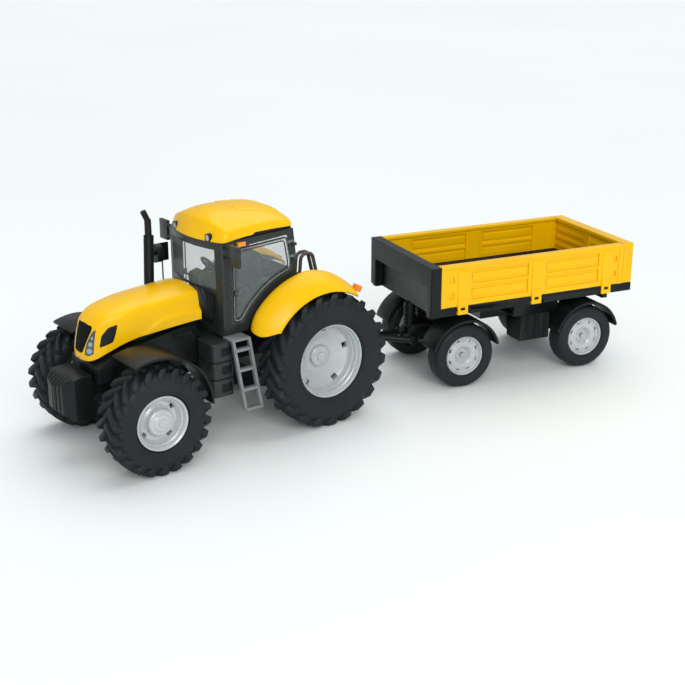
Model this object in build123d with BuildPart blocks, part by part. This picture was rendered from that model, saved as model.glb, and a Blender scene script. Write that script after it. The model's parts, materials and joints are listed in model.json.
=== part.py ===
from build123d import *
from math import cos, radians, sin
import os

# Toy tractor with a hitched four-wheel trailer, in millimetres.
# Tractor frame: X forward, Y left, Z up, origin on the ground under the rear axle.
# Trailer frame: the same directions, origin on the ground under the hitch pin, trailer towards -X.

# ---- driving dimensions of the tractor ----
WHEELBASE = 170.0
REAR_R = 60.0
REAR_RIM_R = 33.4
REAR_TYRE_Y = (45.0, 79.0)
FRONT_R = 45.6
FRONT_RIM_R = 23.4
FRONT_TYRE_Y = (50.0, 80.5)
LUG_DEPTH = 4.0
LUGS_PER_SIDE = 22
SWING_Z = 46.0
KINGPIN_Y = 40.0
STEER_ARM = 20.0
SIDE_Y = 42.0
SKIN = 2.4
CAB_FLOOR_Z = 98.0
DOOR_HINGE = (16.5, 43.6)
DOOR_HINGE_Z = (150.0, 163.0)
HINGE_KNUCKLE_R = 1.3
HINGE_PIN_R = 1.5
BONNET_HINGE = (106.5, 127.6)
STEERING_WHEEL_AT = (75.0, 0.0, 143.0)
STEERING_WHEEL_R = 10.0
COLUMN_LEAN = (-0.8, 0.0, 0.6)
HITCH_X = -74.0

# ---- driving dimensions of the trailer ----
TRAILER_YAW = -12.6
BOGIE_X = -96.2
TRAILER_REAR_X = -232.4
TRAILER_R = 31.4
TRAILER_RIM_R = 19.4
TRAILER_TYRE_Y = (38.5, 60.5)
BOX_FRONT = -66.0
BOX_REAR = -280.0
BOX_HALF = 62.5
BED_Z = (75.0, 83.0)
FLOOR_TOP = 90.0
BOARD_TOP = 123.0
BOARD_THICK = 5.5
TAILGATE_THICK = 10.8
SIDE_HINGE = (61.5, 80.0)
STRAPS_X = ((-97.0, -83.0), (-178.0, -164.0), (-257.0, -245.0))
TAILGATE_STRAPS_Y = ((-46.0, -34.0), (34.0, 46.0))
DRAWBAR_HINGE = (-64.0, 38.0)
EYE_Z = (40.0, 46.0)

# ---- fits ----
AXLE_R = 3.0
TRAILER_AXLE_R = 2.5
RUN_FIT = 0.08
SNUG_FIT = 0.02
GAP = 0.4

REAR_AXLE = (0.0, REAR_R)
FRONT_AXLE = (WHEELBASE, FRONT_R)
BOGIE_AXLE = (BOGIE_X, TRAILER_R)
TRAILER_AXLE = (TRAILER_REAR_X, TRAILER_R)

os.makedirs("parts", exist_ok=True)
tractor = {}
trailer = {}


# ---- shapes that many pieces share, added to the part that is open ----
def block(x_range, y_range, z_range, mode=Mode.ADD):
    """A box between two X, two Y and two Z values."""
    with Locations((x_range[0], y_range[0], z_range[0])):
        Box(
            x_range[1] - x_range[0],
            y_range[1] - y_range[0],
            z_range[1] - z_range[0],
            align=(Align.MIN, Align.MIN, Align.MIN),
            mode=mode,
        )


def twin_block(x_range, y_range, z_range, mode=Mode.ADD):
    """A box on the left and its mirror image on the right."""
    block(x_range, y_range, z_range, mode)
    block(x_range, (-y_range[1], -y_range[0]), z_range, mode)


def side_prism(outline, y_range, mode=Mode.ADD):
    """An outline in X and Z, as seen from the side, carried across Y."""
    with BuildSketch(Plane.XZ.offset(-y_range[0])) as profile:
        with BuildLine():
            Polyline(*outline, close=True)
        make_face()
    extrude(profile.sketch, amount=y_range[0] - y_range[1], mode=mode)


def front_prism(outline, x_range, mode=Mode.ADD):
    """An outline in Y and Z, as seen from the front, carried along X."""
    with BuildSketch(Plane.YZ.offset(x_range[0])) as profile:
        with BuildLine():
            Polyline(*outline, close=True)
        make_face()
    extrude(profile.sketch, amount=x_range[1] - x_range[0], mode=mode)


def plan_prism(outline, z_range, mode=Mode.ADD):
    """An outline in X and Y, as seen from above, carried up Z."""
    with BuildSketch(Plane.XY.offset(z_range[0])) as profile:
        with BuildLine():
            Polyline(*outline, close=True)
        make_face()
    extrude(profile.sketch, amount=z_range[1] - z_range[0], mode=mode)


def ring(axle, outline, mode=Mode.ADD):
    """An outline in radius and Y, turned about an axle that lies across the vehicle."""
    with BuildSketch(Plane((axle[0], 0, axle[1]))) as profile:
        with BuildLine():
            Polyline(*outline, close=True)
        make_face()
    revolve(profile.sketch, axis=Axis((axle[0], 0, axle[1]), (0, 1, 0)), mode=mode)


def rod(start, end, radius, mode=Mode.ADD):
    """A round bar from one point to another."""
    along = Vector(*end) - Vector(*start)
    with Locations(Plane(origin=start, z_dir=along)):
        Cylinder(radius, along.length, align=(Align.CENTER, Align.CENTER, Align.MIN), mode=mode)


def polar(axle, radius, angle):
    """A point in X and Z at a radius and an angle above +X about an axle."""
    return (axle[0] + radius * cos(radians(angle)), axle[1] + radius * sin(radians(angle)))


def arc_band(axle, radii, angles, y_range, mode=Mode.ADD):
    """A curved strip about an axle, between two radii and two angles."""
    middle = sum(angles) / 2
    with BuildSketch(Plane.XZ.offset(-y_range[0])) as profile:
        with BuildLine():
            outer = [polar(axle, radii[1], a) for a in (angles[0], middle, angles[1])]
            inner = [polar(axle, radii[0], a) for a in (angles[1], middle, angles[0])]
            ThreePointArc(*outer)
            Line(outer[2], inner[0])
            ThreePointArc(*inner)
            Line(inner[2], outer[0])
        make_face()
    extrude(profile.sketch, amount=y_range[0] - y_range[1], mode=mode)


def mirrored(piece):
    """The right-hand piece that matches a left-hand one."""
    with BuildPart() as other:
        mirror(piece, about=Plane.XZ)
    return other.part


# ---- tyres and rims ----
def lugged_tyre(axle, radius, rim_r, y_range, bead_y, lugs):
    """A farm tyre: round-shouldered carcass with two rows of slanted lugs.

    bead_y gives the inner flange, inner seat, outer seat and outer flange of the rim."""
    inner_y, outer_y = y_range
    crown = radius - LUG_DEPTH
    width = outer_y - inner_y
    middle = (inner_y + outer_y) / 2
    with BuildPart() as tyre:
        ring(
            axle,
            [
                (rim_r - 1.8, bead_y[1]),
                (rim_r - 1.8, bead_y[2]),
                (rim_r + 0.3, bead_y[3]),
                (rim_r + 0.6, outer_y - 1.2),
                (rim_r + 6, outer_y - 0.3),
                (crown - 8, outer_y),
                (crown - 2, outer_y - 2),
                (crown, outer_y - 6),
                (crown, inner_y + 6),
                (crown - 2, inner_y + 2),
                (crown - 8, inner_y),
                (rim_r + 6, inner_y + 0.3),
                (rim_r + 0.6, inner_y + 1.2),
                (rim_r + 0.3, bead_y[0]),
            ],
        )
        axle_line = Plane(origin=(axle[0], middle, axle[1]), z_dir=(0, 1, 0))
        lug_size = (LUG_DEPTH + 1.4, radius * 0.085, width * 0.5)
        for row in (-1, 1):
            with Locations(axle_line.offset(row * width * 0.235)):
                start = 0 if row > 0 else 180 / lugs
                with PolarLocations(crown + LUG_DEPTH / 2 - 0.9, lugs, start_angle=start):
                    Box(*lug_size, rotation=(row * 32, 0, 0))
        ring(
            axle,
            [
                (rim_r - 1.8, inner_y),
                (rim_r - 1.8, outer_y),
                (radius, outer_y),
                (radius, inner_y),
            ],
            Mode.INTERSECT,
        )
    return tyre.part


def rear_rim_left():
    """Deep-dished rear rim with a hub flange and ventilation slots."""
    r = REAR_RIM_R
    with BuildPart() as rim:
        ring(
            REAR_AXLE,
            [
                (AXLE_R + SNUG_FIT, 49),
                (AXLE_R + SNUG_FIT, 58),
                (10, 58),
                (10, 55.8),
                (15, 55.2),
                (21, 57.6),
                (27, 60.6),
                (28.8, 63),
                (30.2, 72),
                (r - 1, 75.5),
                (r, 74.6),
                (r - 1.9, 72),
                (r - 1.9, 51),
                (r, 47.6),
                (r - 0.8, 46.8),
                (r - 3.4, 49),
                (27.6, 57.4),
                (21.5, 54.4),
                (15, 52),
                (9, 51.6),
                (9, 49),
            ],
        )
        with Locations(Plane(origin=(0, 60, REAR_R), z_dir=(0, 1, 0))):
            with PolarLocations(25.6, 4, start_angle=20):
                Box(3.5, 5.5, 12, mode=Mode.SUBTRACT)
    return rim.part


def front_rim_left():
    """Front rim with a standing hub cap that closes the stub axle's bore."""
    r = FRONT_RIM_R
    with BuildPart() as rim:
        ring(
            FRONT_AXLE,
            [
                (0, 73.5),
                (0, 79),
                (8, 79),
                (9, 78),
                (9, 74),
                (17.5, 71),
                (20.4, 76),
                (r - 1, 79),
                (r, 78),
                (r - 1.9, 75.5),
                (r - 1.9, 56),
                (r, 52.5),
                (r - 0.8, 51.6),
                (r - 3.4, 54),
                (18, 68),
                (9, 70),
                (9, 49.6),
                (AXLE_R + RUN_FIT, 49.6),
                (AXLE_R + RUN_FIT, 73.5),
            ],
        )
        with Locations(Plane(origin=(WHEELBASE, 70, FRONT_R), z_dir=(0, 1, 0))):
            with PolarLocations(16.5, 4, start_angle=20):
                Box(2.8, 4.5, 12, mode=Mode.SUBTRACT)
    return rim.part


def trailer_rims(axle):
    """Two pressed disc wheels with eight slots round the disc."""
    r = TRAILER_RIM_R
    outline = [
        (TRAILER_AXLE_R + SNUG_FIT, 42),
        (TRAILER_AXLE_R + SNUG_FIT, 55),
        (6, 55),
        (7, 53),
        (12.5, 57),
        (17.5, 55.5),
        (r - 0.7, 58.4),
        (r, 57.6),
        (r - 1.4, 54.5),
        (r - 1.4, 44),
        (r, 41),
        (r - 0.8, 40.4),
        (r - 3, 43),
        (16, 52.5),
        (12.5, 54),
        (6, 49),
        (6, 42),
    ]
    with BuildPart() as rims:
        ring(axle, outline)
        with Locations(Plane(origin=(axle[0], 55, axle[1]), z_dir=(0, 1, 0))):
            with PolarLocations(14.8, 8, start_angle=22.5):
                Box(1.9, 4.2, 9, mode=Mode.SUBTRACT)
        mirror(about=Plane.XZ)
    return rims.part


def trailer_tyres(axle):
    """Two smooth road tyres."""
    inner_y, outer_y = TRAILER_TYRE_Y
    bead = TRAILER_RIM_R - 1.3
    with BuildPart() as tyres:
        ring(
            axle,
            [
                (bead, inner_y + 6),
                (bead, outer_y - 6.5),
                (TRAILER_RIM_R + 0.6, outer_y - 1.6),
                (TRAILER_RIM_R + 4, outer_y),
                (TRAILER_R - 4, outer_y - 0.6),
                (TRAILER_R - 1, outer_y - 2.6),
                (TRAILER_R, outer_y - 5),
                (TRAILER_R, inner_y + 5),
                (TRAILER_R - 1, inner_y + 2.6),
                (TRAILER_R - 4, inner_y + 0.6),
                (TRAILER_RIM_R + 4, inner_y),
                (TRAILER_RIM_R + 0.6, inner_y + 1.6),
            ],
        )
        for groove_y in (45.5, 49.5, 53.5):
            ring(
                axle,
                [
                    (TRAILER_R - 0.9, groove_y - 0.5),
                    (TRAILER_R + 1, groove_y - 0.5),
                    (TRAILER_R + 1, groove_y + 0.5),
                    (TRAILER_R - 0.9, groove_y + 0.5),
                ],
                Mode.SUBTRACT,
            )
        mirror(about=Plane.XZ)
    return tyres.part


REAR_BEAD_Y = (47.6, 51.4, 71.6, 74.6)
FRONT_BEAD_Y = (52.5, 56.4, 75.1, 78.0)
rear_tyre = lugged_tyre(REAR_AXLE, REAR_R, REAR_RIM_R, REAR_TYRE_Y, REAR_BEAD_Y, LUGS_PER_SIDE)
front_tyre = lugged_tyre(FRONT_AXLE, FRONT_R, FRONT_RIM_R, FRONT_TYRE_Y, FRONT_BEAD_Y, LUGS_PER_SIDE)
with BuildPart() as rear_tyres:
    add(rear_tyre)
    mirror(rear_tyre, about=Plane.XZ)
tractor["rear_tyres"] = rear_tyres.part
rear_rim = rear_rim_left()
with BuildPart() as rear_rims:
    add(rear_rim)
    mirror(rear_rim, about=Plane.XZ)
tractor["rear_rims"] = rear_rims.part
front_rim = front_rim_left()
tractor["front_tyre_left"] = front_tyre
tractor["front_tyre_right"] = mirrored(front_tyre)
tractor["front_rim_left"] = front_rim
tractor["front_rim_right"] = mirrored(front_rim)

with BuildPart() as rear_axle:
    rod((0, -58.4, REAR_R), (0, 58.4, REAR_R), AXLE_R)
tractor["rear_axle"] = rear_axle.part


# ---- tractor frame ----
PIVOT_BRACKETS_X = ((156.0, 160.6), (179.4, 184.0))
SCREWS = ((58.0, 16.0, 62.0), (58.0, -16.0, 62.0), (92.0, 16.0, 62.0), (92.0, -16.0, 62.0))
SCREW_SHANK_R = 1.4
SCREW_HEAD_R = 2.6
CLEVIS_SLOT_Z = (39.2, 46.8)

with BuildPart() as chassis:
    side_prism(
        [(-38, 40), (36, 40), (40, 62), (40, 92), (26, 104), (8, 112), (-34, 112), (-38, 106)],
        (-28, 28),
    )
    block((38, 104), (-24, 24), (62, 92))
    block((100, 200), (-14, 14), (56, 68))
    for bracket in PIVOT_BRACKETS_X:
        block(bracket, (-12, 12), (38, 57))
    rod((0, -43.6, REAR_R), (0, 43.6, REAR_R), 13)
    block((HITCH_X, -36), (-9, 9), (34, 52))
    rod((HITCH_X, 0, 34), (HITCH_X, 0, 52), 9)
    block((HITCH_X - 12, HITCH_X + 12), (-12, 12), CLEVIS_SLOT_Z, Mode.SUBTRACT)
    rod((HITCH_X, 0, 30), (HITCH_X, 0, 60), 2.5 + RUN_FIT, Mode.SUBTRACT)
    rod((0, -50, REAR_R), (0, 50, REAR_R), AXLE_R + RUN_FIT, Mode.SUBTRACT)
    rod((150, 0, SWING_Z), (190, 0, SWING_Z), 4 + RUN_FIT, Mode.SUBTRACT)
    for x, y, z in SCREWS:
        rod((x, y, z), (x, y, z + 2.4), SCREW_HEAD_R + GAP, Mode.SUBTRACT)
        rod((x, y, z), (x, y, z + 14), SCREW_SHANK_R + SNUG_FIT, Mode.SUBTRACT)
tractor["chassis"] = chassis.part

with BuildPart() as chassis_screws:
    for x, y, z in SCREWS:
        rod((x, y, z + 0.4), (x, y, z + 2.4), SCREW_HEAD_R)
        rod((x, y, z + 2.4), (x, y, z + 13), SCREW_SHANK_R)
        block((x - 0.4, x + 0.4), (y - 1.7, y + 1.7), (z + 0.3, z + 1.2), Mode.SUBTRACT)
        block((x - 1.7, x + 1.7), (y - 0.4, y + 0.4), (z + 0.3, z + 1.2), Mode.SUBTRACT)
tractor["chassis_screws"] = chassis_screws.part

ENGINE_SIDE_Y = 24.5
with BuildPart() as engine_block:
    side_prism(
        [(104.2, 68.2), (104.2, 104), (148, 97), (182, 90), (197, 82), (197, 68.2)],
        (-ENGINE_SIDE_Y, ENGINE_SIDE_Y),
    )
    block((110, 178), (-17, 17), (96, 118))
    twin_block((108, 128), (ENGINE_SIDE_Y - 1.5, ENGINE_SIDE_Y + 1), (93, 98), Mode.SUBTRACT)
    twin_block((132, 184), (18, ENGINE_SIDE_Y + 1), (68, 80), Mode.SUBTRACT)
tractor["engine_block"] = engine_block.part

with BuildPart() as front_weight:
    plan_prism(
        [(200.2, -19), (200.2, 19), (217, 20), (225, 14), (228, 0), (225, -14), (217, -20)],
        (38, 76),
    )
    side_prism(
        [(200, 34), (211, 34), (229, 48), (229, 67), (221, 74), (204, 78), (200, 78)],
        (-30, 30),
        Mode.INTERSECT,
    )
    for groove_y in (-10.0, -5.0, 0.0, 5.0, 10.0):
        block((219, 234), (groove_y - 0.5, groove_y + 0.5), (30, 80), Mode.SUBTRACT)
tractor["front_weight"] = front_weight.part

with BuildPart() as hitch_pin:
    rod((HITCH_X, 0, 31), (HITCH_X, 0, 53), 2.5)
    rod((HITCH_X, 0, 52.4), (HITCH_X, 0, 57), 4.6)
    fillet(hitch_pin.edges().group_by(Axis.Z)[-1], 1.2)
tractor["hitch_pin"] = hitch_pin.part

with BuildPart() as rear_hoses:
    for hose_y in (8.0, 15.0):
        with BuildLine() as hose_path:
            FilletPolyline(
                (-8, hose_y, 112.2),
                (-11, hose_y, 141.6),
                (-23, hose_y, 141),
                (-30, hose_y, 112.6),
                radius=5.4,
            )
        with BuildSketch(hose_path.line ^ 0):
            Circle(1.6)
        sweep(path=hose_path.line)
tractor["rear_hoses"] = rear_hoses.part


# ---- front axle ----
FORK_Z = ((33.6, 37.4), (53.8, 57.6))
TIE_ROD_X = WHEELBASE - STEER_ARM
TIE_ROD_Z = (47.6, 50.8)

with BuildPart() as axle_beam:
    block((162, 178), (-33, 33), (40, 52))
    twin_block((163, 177), (28, 33), (33.6, 57.6))
    for plate_z in FORK_Z:
        twin_block((164, 176), (32, 44), plate_z)
    rod((156.6, 0, SWING_Z), (183.4, 0, SWING_Z), 4)
    for side in (-1, 1):
        bore_at = (WHEELBASE, side * KINGPIN_Y)
        rod((*bore_at, 30), (*bore_at, 60), AXLE_R + RUN_FIT, Mode.SUBTRACT)
tractor["axle_beam"] = axle_beam.part

with BuildPart() as knuckle_left:
    rod((WHEELBASE, KINGPIN_Y, 34), (WHEELBASE, KINGPIN_Y, 57.2), AXLE_R)
    rod((WHEELBASE, KINGPIN_Y, 38), (WHEELBASE, KINGPIN_Y, 53.2), 5.4)
    rod((WHEELBASE, KINGPIN_Y, FRONT_R), (WHEELBASE, 73, FRONT_R), AXLE_R)
    rod((WHEELBASE, 44, FRONT_R), (WHEELBASE, 49, FRONT_R), 6)
    block((164.5, 175.5), (45.6, 48.6), (FRONT_R, 92))
    block((TIE_ROD_X - 4, WHEELBASE), (37, 43), (41, 46.6))
    rod((TIE_ROD_X, KINGPIN_Y, 46), (TIE_ROD_X, KINGPIN_Y, 52.4), 1.8)
tractor["knuckle_left"] = knuckle_left.part
tractor["knuckle_right"] = mirrored(knuckle_left.part)

with BuildPart() as tie_rod:
    block((TIE_ROD_X - 2.5, TIE_ROD_X + 2.5), (-38, 38), TIE_ROD_Z)
    for side in (-1, 1):
        eye_at = (TIE_ROD_X, side * KINGPIN_Y)
        rod((*eye_at, TIE_ROD_Z[0]), (*eye_at, TIE_ROD_Z[1]), 5)
        block(
            (TIE_ROD_X - 2.2, TIE_ROD_X + 3.0),
            (side * KINGPIN_Y - 2.1, side * KINGPIN_Y + 2.1),
            (44, 54),
            Mode.SUBTRACT,
        )
tractor["tie_rod"] = tie_rod.part

GUARD_R = (51.6, 53.6)
with BuildPart() as mudguard_left:
    arc_band(FRONT_AXLE, GUARD_R, (68, 178), (36, 74))
    plan_prism([(100, 60), (100, 30), (142, 30)], (20, 120), Mode.SUBTRACT)
    plan_prism([(100, 76), (140, 76), (100, 66)], (20, 120), Mode.SUBTRACT)
    block((164.5, 175.5), (45.6, 48.6), (92.4, 97.4))
tractor["mudguard_left"] = mudguard_left.part
tractor["mudguard_right"] = mirrored(mudguard_left.part)


# ---- bonnet: one shell, cut into the bonnet, its grille, lamps and vents ----
BONNET_SIDE = [
    (102, 107.5),
    (102.4, 131),
    (105, 134),
    (113, 134.6),
    (135, 132.9),
    (156, 131),
    (173, 127.8),
    (185, 123.2),
    (192, 118.2),
    (195.5, 114.2),
    (202.6, 92),
    (201.6, 87),
    (198, 84.5),
    (191, 88),
    (182, 92.6),
    (148, 100.2),
    (120, 105),
]
BONNET_PLAN_LEFT = [(102, 29.4), (130, 29), (160, 27.2), (182, 24.6), (192, 21), (199, 14.5), (203, 6)]
BONNET_FRONT_LEFT = [(30, 80), (30, 112), (26.6, 124), (24, 129.4), (19.6, 132.4), (10, 134.2), (0, 134.9)]
CORE_PLAN_LEFT = [(95, 27), (130, 26.6), (160, 24.8), (181, 22.2), (190, 18.8), (196.4, 12.6), (200, 4.5)]
CORE_FRONT_LEFT = [(40, 50), (27.6, 111), (24.2, 123), (21.8, 127.6), (18, 130.2), (9.6, 131.8), (0, 132.5)]
GRILLE_FRONT_LEFT = [(0, 93), (6.4, 93), (12.4, 113.6), (0, 114.4)]
LAMP_FRONT_LEFT = [(8.6, 90.5), (15.5, 92), (19.8, 97), (19, 104), (14.4, 111.4), (11.4, 100)]
LAMP_X = 191.8
VENT_SIDE = [(177.5, 114), (190.5, 110), (191.5, 99.5), (181, 102.5), (176, 108)]


def both_sides(left_points):
    """A closed outline from its left half."""
    return left_points + [(-y, z) for y, z in reversed(left_points) if y]


def plan_both(left_points):
    """A closed plan outline from its left half."""
    return left_points + [(x, -y) for x, y in reversed(left_points)]


def hinge_rod(y_range, radius, mode=Mode.ADD):
    """A round length on the bonnet's hinge line."""
    x, z = BONNET_HINGE
    rod((x, y_range[0], z), (x, y_range[1], z), radius, mode)


with BuildPart() as bonnet_core:
    side_prism(
        [
            (95, 60),
            (95, 128),
            (104, 131.2),
            (108, 132.2),
            (135, 130.6),
            (156, 128.6),
            (172, 125.4),
            (183, 121),
            (189.6, 116),
            (192.8, 112.4),
            (199.4, 93),
            (199.6, 90),
            (197, 60),
        ],
        (-40, 40),
    )
    plan_prism(plan_both(CORE_PLAN_LEFT), (50, 150), Mode.INTERSECT)
    front_prism(both_sides(CORE_FRONT_LEFT), (90, 210), Mode.INTERSECT)

with BuildPart() as bonnet_shell:
    side_prism(BONNET_SIDE, (-40, 40))
    plan_prism(plan_both(BONNET_PLAN_LEFT), (60, 150), Mode.INTERSECT)
    front_prism(both_sides(BONNET_FRONT_LEFT), (90, 210), Mode.INTERSECT)
    add(bonnet_core.part, mode=Mode.SUBTRACT)

with BuildPart() as bonnet:
    add(bonnet_shell.part)
    front_prism(both_sides(GRILLE_FRONT_LEFT), (185, 210), Mode.SUBTRACT)
    front_prism(LAMP_FRONT_LEFT, (LAMP_X, 210), Mode.SUBTRACT)
    front_prism([(-y, z) for y, z in LAMP_FRONT_LEFT], (LAMP_X, 210), Mode.SUBTRACT)
    side_prism(VENT_SIDE, (-40, 40), Mode.SUBTRACT)
    for side in (-1, 1):
        lug_y = sorted((side * 5.5, side * 9.5))
        block((104.4, 108.6), lug_y, (127.6, 132.6))
        hinge_rod(lug_y, 2.6)
    hinge_rod((-20, 20), HINGE_PIN_R + RUN_FIT, Mode.SUBTRACT)
tractor["bonnet"] = bonnet.part

with BuildPart() as grille:
    add(bonnet_shell.part)
    front_prism(both_sides(GRILLE_FRONT_LEFT), (185, 210), Mode.INTERSECT)
    for slat_y in (-8.0, -6.0, -4.0, -2.0, 0.0, 2.0, 4.0, 6.0, 8.0):
        slot_side = [(210, 90), (210, 117), (194.4, 115.6), (201.6, 92)]
        side_prism(slot_side, (slat_y - 0.5, slat_y + 0.5), Mode.SUBTRACT)
tractor["grille"] = grille.part

with BuildPart() as headlamps:
    add(bonnet_shell.part)
    front_prism(LAMP_FRONT_LEFT, (LAMP_X, 210), Mode.INTERSECT)
    mirror(about=Plane.XZ)
tractor["headlamps"] = headlamps.part

with BuildPart() as side_vents:
    add(bonnet_shell.part)
    side_prism(VENT_SIDE, (-40, 40), Mode.INTERSECT)
tractor["side_vents"] = side_vents.part

with BuildPart() as bonnet_hinge_pin:
    hinge_rod((-15.6, 15.6), HINGE_PIN_R)
tractor["bonnet_hinge_pin"] = bonnet_hinge_pin.part


# ---- cab ----
CAB_TOP = 173.0
DOOR_R = 80.0
CAB_SIDE = [
    (90, 92),
    (90, 128),
    (97, 131),
    (97, 172.4),
    (16, 175.4),
    (12.6, 146),
    (12.6, 131),
] + [polar(REAR_AXLE, 72.2, angle) for angle in (72, 62, 52, 42, 32, 27.5)]
DOOR_OUTLINE = [(79.6, 100.6), (79.2, 167), (21.6, 170.4), (17.4, 148)] + [
    polar(REAR_AXLE, DOOR_R, angle) for angle in (77.6, 66, 54, 42, 30.6)
]


def cab_plan(inset, height):
    """The cab's outline from above, with a bowed front, drawn in by the wall's thickness."""
    corner_x = 88 - inset
    half = SIDE_Y - inset
    rear_x = 12 + inset
    with BuildSketch(Plane.XY.offset(height)) as plan:
        with BuildLine():
            Polyline((corner_x, half), (rear_x, half), (rear_x, -half), (corner_x, -half))
            ThreePointArc((corner_x, -half), (96.5 - inset, 0), (corner_x, half))
        make_face()
    return plan.sketch


with BuildPart() as cab_shell:
    extrude(cab_plan(0, 90), amount=88)
    side_prism(CAB_SIDE, (-50, 50), Mode.INTERSECT)
    extrude(cab_plan(SKIN, CAB_FLOOR_Z), amount=100, mode=Mode.SUBTRACT)

WINDSCREEN = [(-35.5, 132), (35.5, 132), (34.5, 166.5), (-34.5, 166.5)]
REAR_WINDOW = [(-33, 138), (33, 138), (33, 166.5), (-33, 166.5)]

with BuildPart() as cab_frame:
    add(cab_shell.part)
    front_prism(WINDSCREEN, (70, 110), Mode.SUBTRACT)
    front_prism(REAR_WINDOW, (0, 30), Mode.SUBTRACT)
    side_prism(DOOR_OUTLINE, (-50, 50), Mode.SUBTRACT)
    for side in (-1, 1):
        lug_y = sorted((side * 10.3, side * 14.6))
        block((95.6, 108.6), lug_y, (118, 122))
        block((104.4, 108.6), lug_y, (118, 127.6))
        hinge_rod(lug_y, 2.1)
        for hinge_z in (DOOR_HINGE_Z[0] - 3, DOOR_HINGE_Z[1] - 3):
            arm_y = sorted((side * 41.5, side * DOOR_HINGE[1]))
            block((13.4, DOOR_HINGE[0]), arm_y, (hinge_z, hinge_z + 2.6))
            hinge_at = (DOOR_HINGE[0], side * DOOR_HINGE[1])
            rod((*hinge_at, hinge_z), (*hinge_at, hinge_z + 2.6), HINGE_KNUCKLE_R)
    hinge_rod((-20, 20), HINGE_PIN_R + SNUG_FIT, Mode.SUBTRACT)
tractor["cab_frame"] = cab_frame.part

with BuildPart() as cab_glass:
    add(cab_shell.part)
    with BuildSketch(Plane.YZ):
        with BuildLine():
            Polyline(*WINDSCREEN, close=True)
        make_face()
    extrude(amount=110, mode=Mode.INTERSECT)
    block((20, 80), (-50, 50), (120, 180), Mode.SUBTRACT)
    block((10, 20), (-60, 60), (120, 138), Mode.SUBTRACT)
    block((10, 20), (33, 60), (120, 180), Mode.SUBTRACT)
    block((10, 20), (-60, -33), (120, 180), Mode.SUBTRACT)
tractor["cab_glass"] = cab_glass.part

with BuildPart() as door_left:
    with BuildSketch(Plane.XZ.offset(-(SIDE_Y - 2.2))):
        with BuildLine():
            Polyline(*DOOR_OUTLINE, close=True)
        make_face()
        offset(amount=-GAP, kind=Kind.INTERSECTION)
    extrude(amount=-2.2)
    with BuildSketch(Plane.XZ.offset(-(SIDE_Y - 0.8))):
        with BuildLine():
            Polyline(*DOOR_OUTLINE, close=True)
        make_face()
        offset(amount=-4.4, kind=Kind.INTERSECTION)
    extrude(amount=-5, mode=Mode.SUBTRACT)
    for hinge_z in DOOR_HINGE_Z:
        block((DOOR_HINGE[0], 25), (SIDE_Y + 0.3, DOOR_HINGE[1]), (hinge_z, hinge_z + 2.6))
        block((22, 25), (SIDE_Y - 1, DOOR_HINGE[1]), (hinge_z, hinge_z + 2.6))
        rod((*DOOR_HINGE, hinge_z), (*DOOR_HINGE, hinge_z + 2.6), HINGE_KNUCKLE_R)
    block((71, 77), (SIDE_Y - 1.6, SIDE_Y + 1.8), (126, 130))
tractor["door_left"] = door_left.part
tractor["door_right"] = mirrored(door_left.part)

ROOF_SIDE = [
    (96, 172.6),
    (93.8, 178.6),
    (90.6, 183.6),
    (86, 188.2),
    (78, 192.8),
    (66, 195.4),
    (54, 196),
    (40, 195),
    (27, 192.6),
    (17.5, 187.4),
    (13, 177.4),
    (13, 175.6),
    (16, 175.5),
]
ROOF_FRONT_LEFT = [(50, 160), (43.4, 172), (42, 180), (40, 184), (26, 191.8), (12, 195.2), (0, 196)]
with BuildPart() as roof:
    side_prism(ROOF_SIDE, (-50, 50))
    with BuildSketch(Plane.XY.offset(170)):
        with BuildLine():
            Polyline(*plan_both([(86, 38), (80, 40), (57, 43), (20, 42), (13, 36)]))
            ThreePointArc((86, -38), (95.6, 0), (86, 38))
        make_face()
    extrude(amount=40, mode=Mode.INTERSECT)
    front_prism(both_sides(ROOF_FRONT_LEFT), (0, 110), Mode.INTERSECT)
    for lamp_y in (-26.9, 26.9):
        rod((80, lamp_y, 177.4), (100, lamp_y, 176.8), 3.5, Mode.SUBTRACT)
tractor["roof"] = roof.part

with BuildPart() as work_lamps:
    for lamp_y in (-26.9, 26.9):
        rod((80.4, lamp_y, 177.388), (92.4, lamp_y, 177.028), 3.4)
tractor["work_lamps"] = work_lamps.part

WHEEL_CENTRE = Vector(*STEERING_WHEEL_AT)
COLUMN = Vector(*COLUMN_LEAN)
with BuildPart() as cab_interior:
    block((40, 84), (-39, 39), (CAB_FLOOR_Z + 0.2, 101))
    side_prism(
        [(17, 121), (22, 121), (44, 101), (84, 101), (84, 98.2), (42, 98.2), (17, 118)],
        (-39, 39),
    )
    block((37, 57), (-13, 13), (100, 113))
    side_prism([(66, 100), (84, 100), (88, 136), (80, 138.6), (75, 131)], (-14, 14))
    rod(WHEEL_CENTRE - COLUMN * 16, WHEEL_CENTRE - COLUMN * 3.4, 1.5 + RUN_FIT, Mode.SUBTRACT)
tractor["cab_interior"] = cab_interior.part

with BuildPart() as seat:
    side_prism(
        [(34, 113.2), (58, 113.2), (59, 118), (56, 120.5), (41, 119), (35, 148), (30, 150), (29, 124)],
        (-12, 12),
    )
    fillet(seat.edges().filter_by(Axis.Y), 1.2)
tractor["seat"] = seat.part

with BuildPart() as steering_wheel:
    rod(WHEEL_CENTRE - COLUMN * 13, WHEEL_CENTRE + COLUMN * 0.6, 1.5)
    with Locations(Plane(origin=WHEEL_CENTRE, z_dir=COLUMN)):
        Torus(STEERING_WHEEL_R - 1.2, 1.2)
        Cylinder(3, 1.6)
        with PolarLocations(4.4, 3):
            Box(8.4, 1.6, 1.2)
tractor["steering_wheel"] = steering_wheel.part


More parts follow.
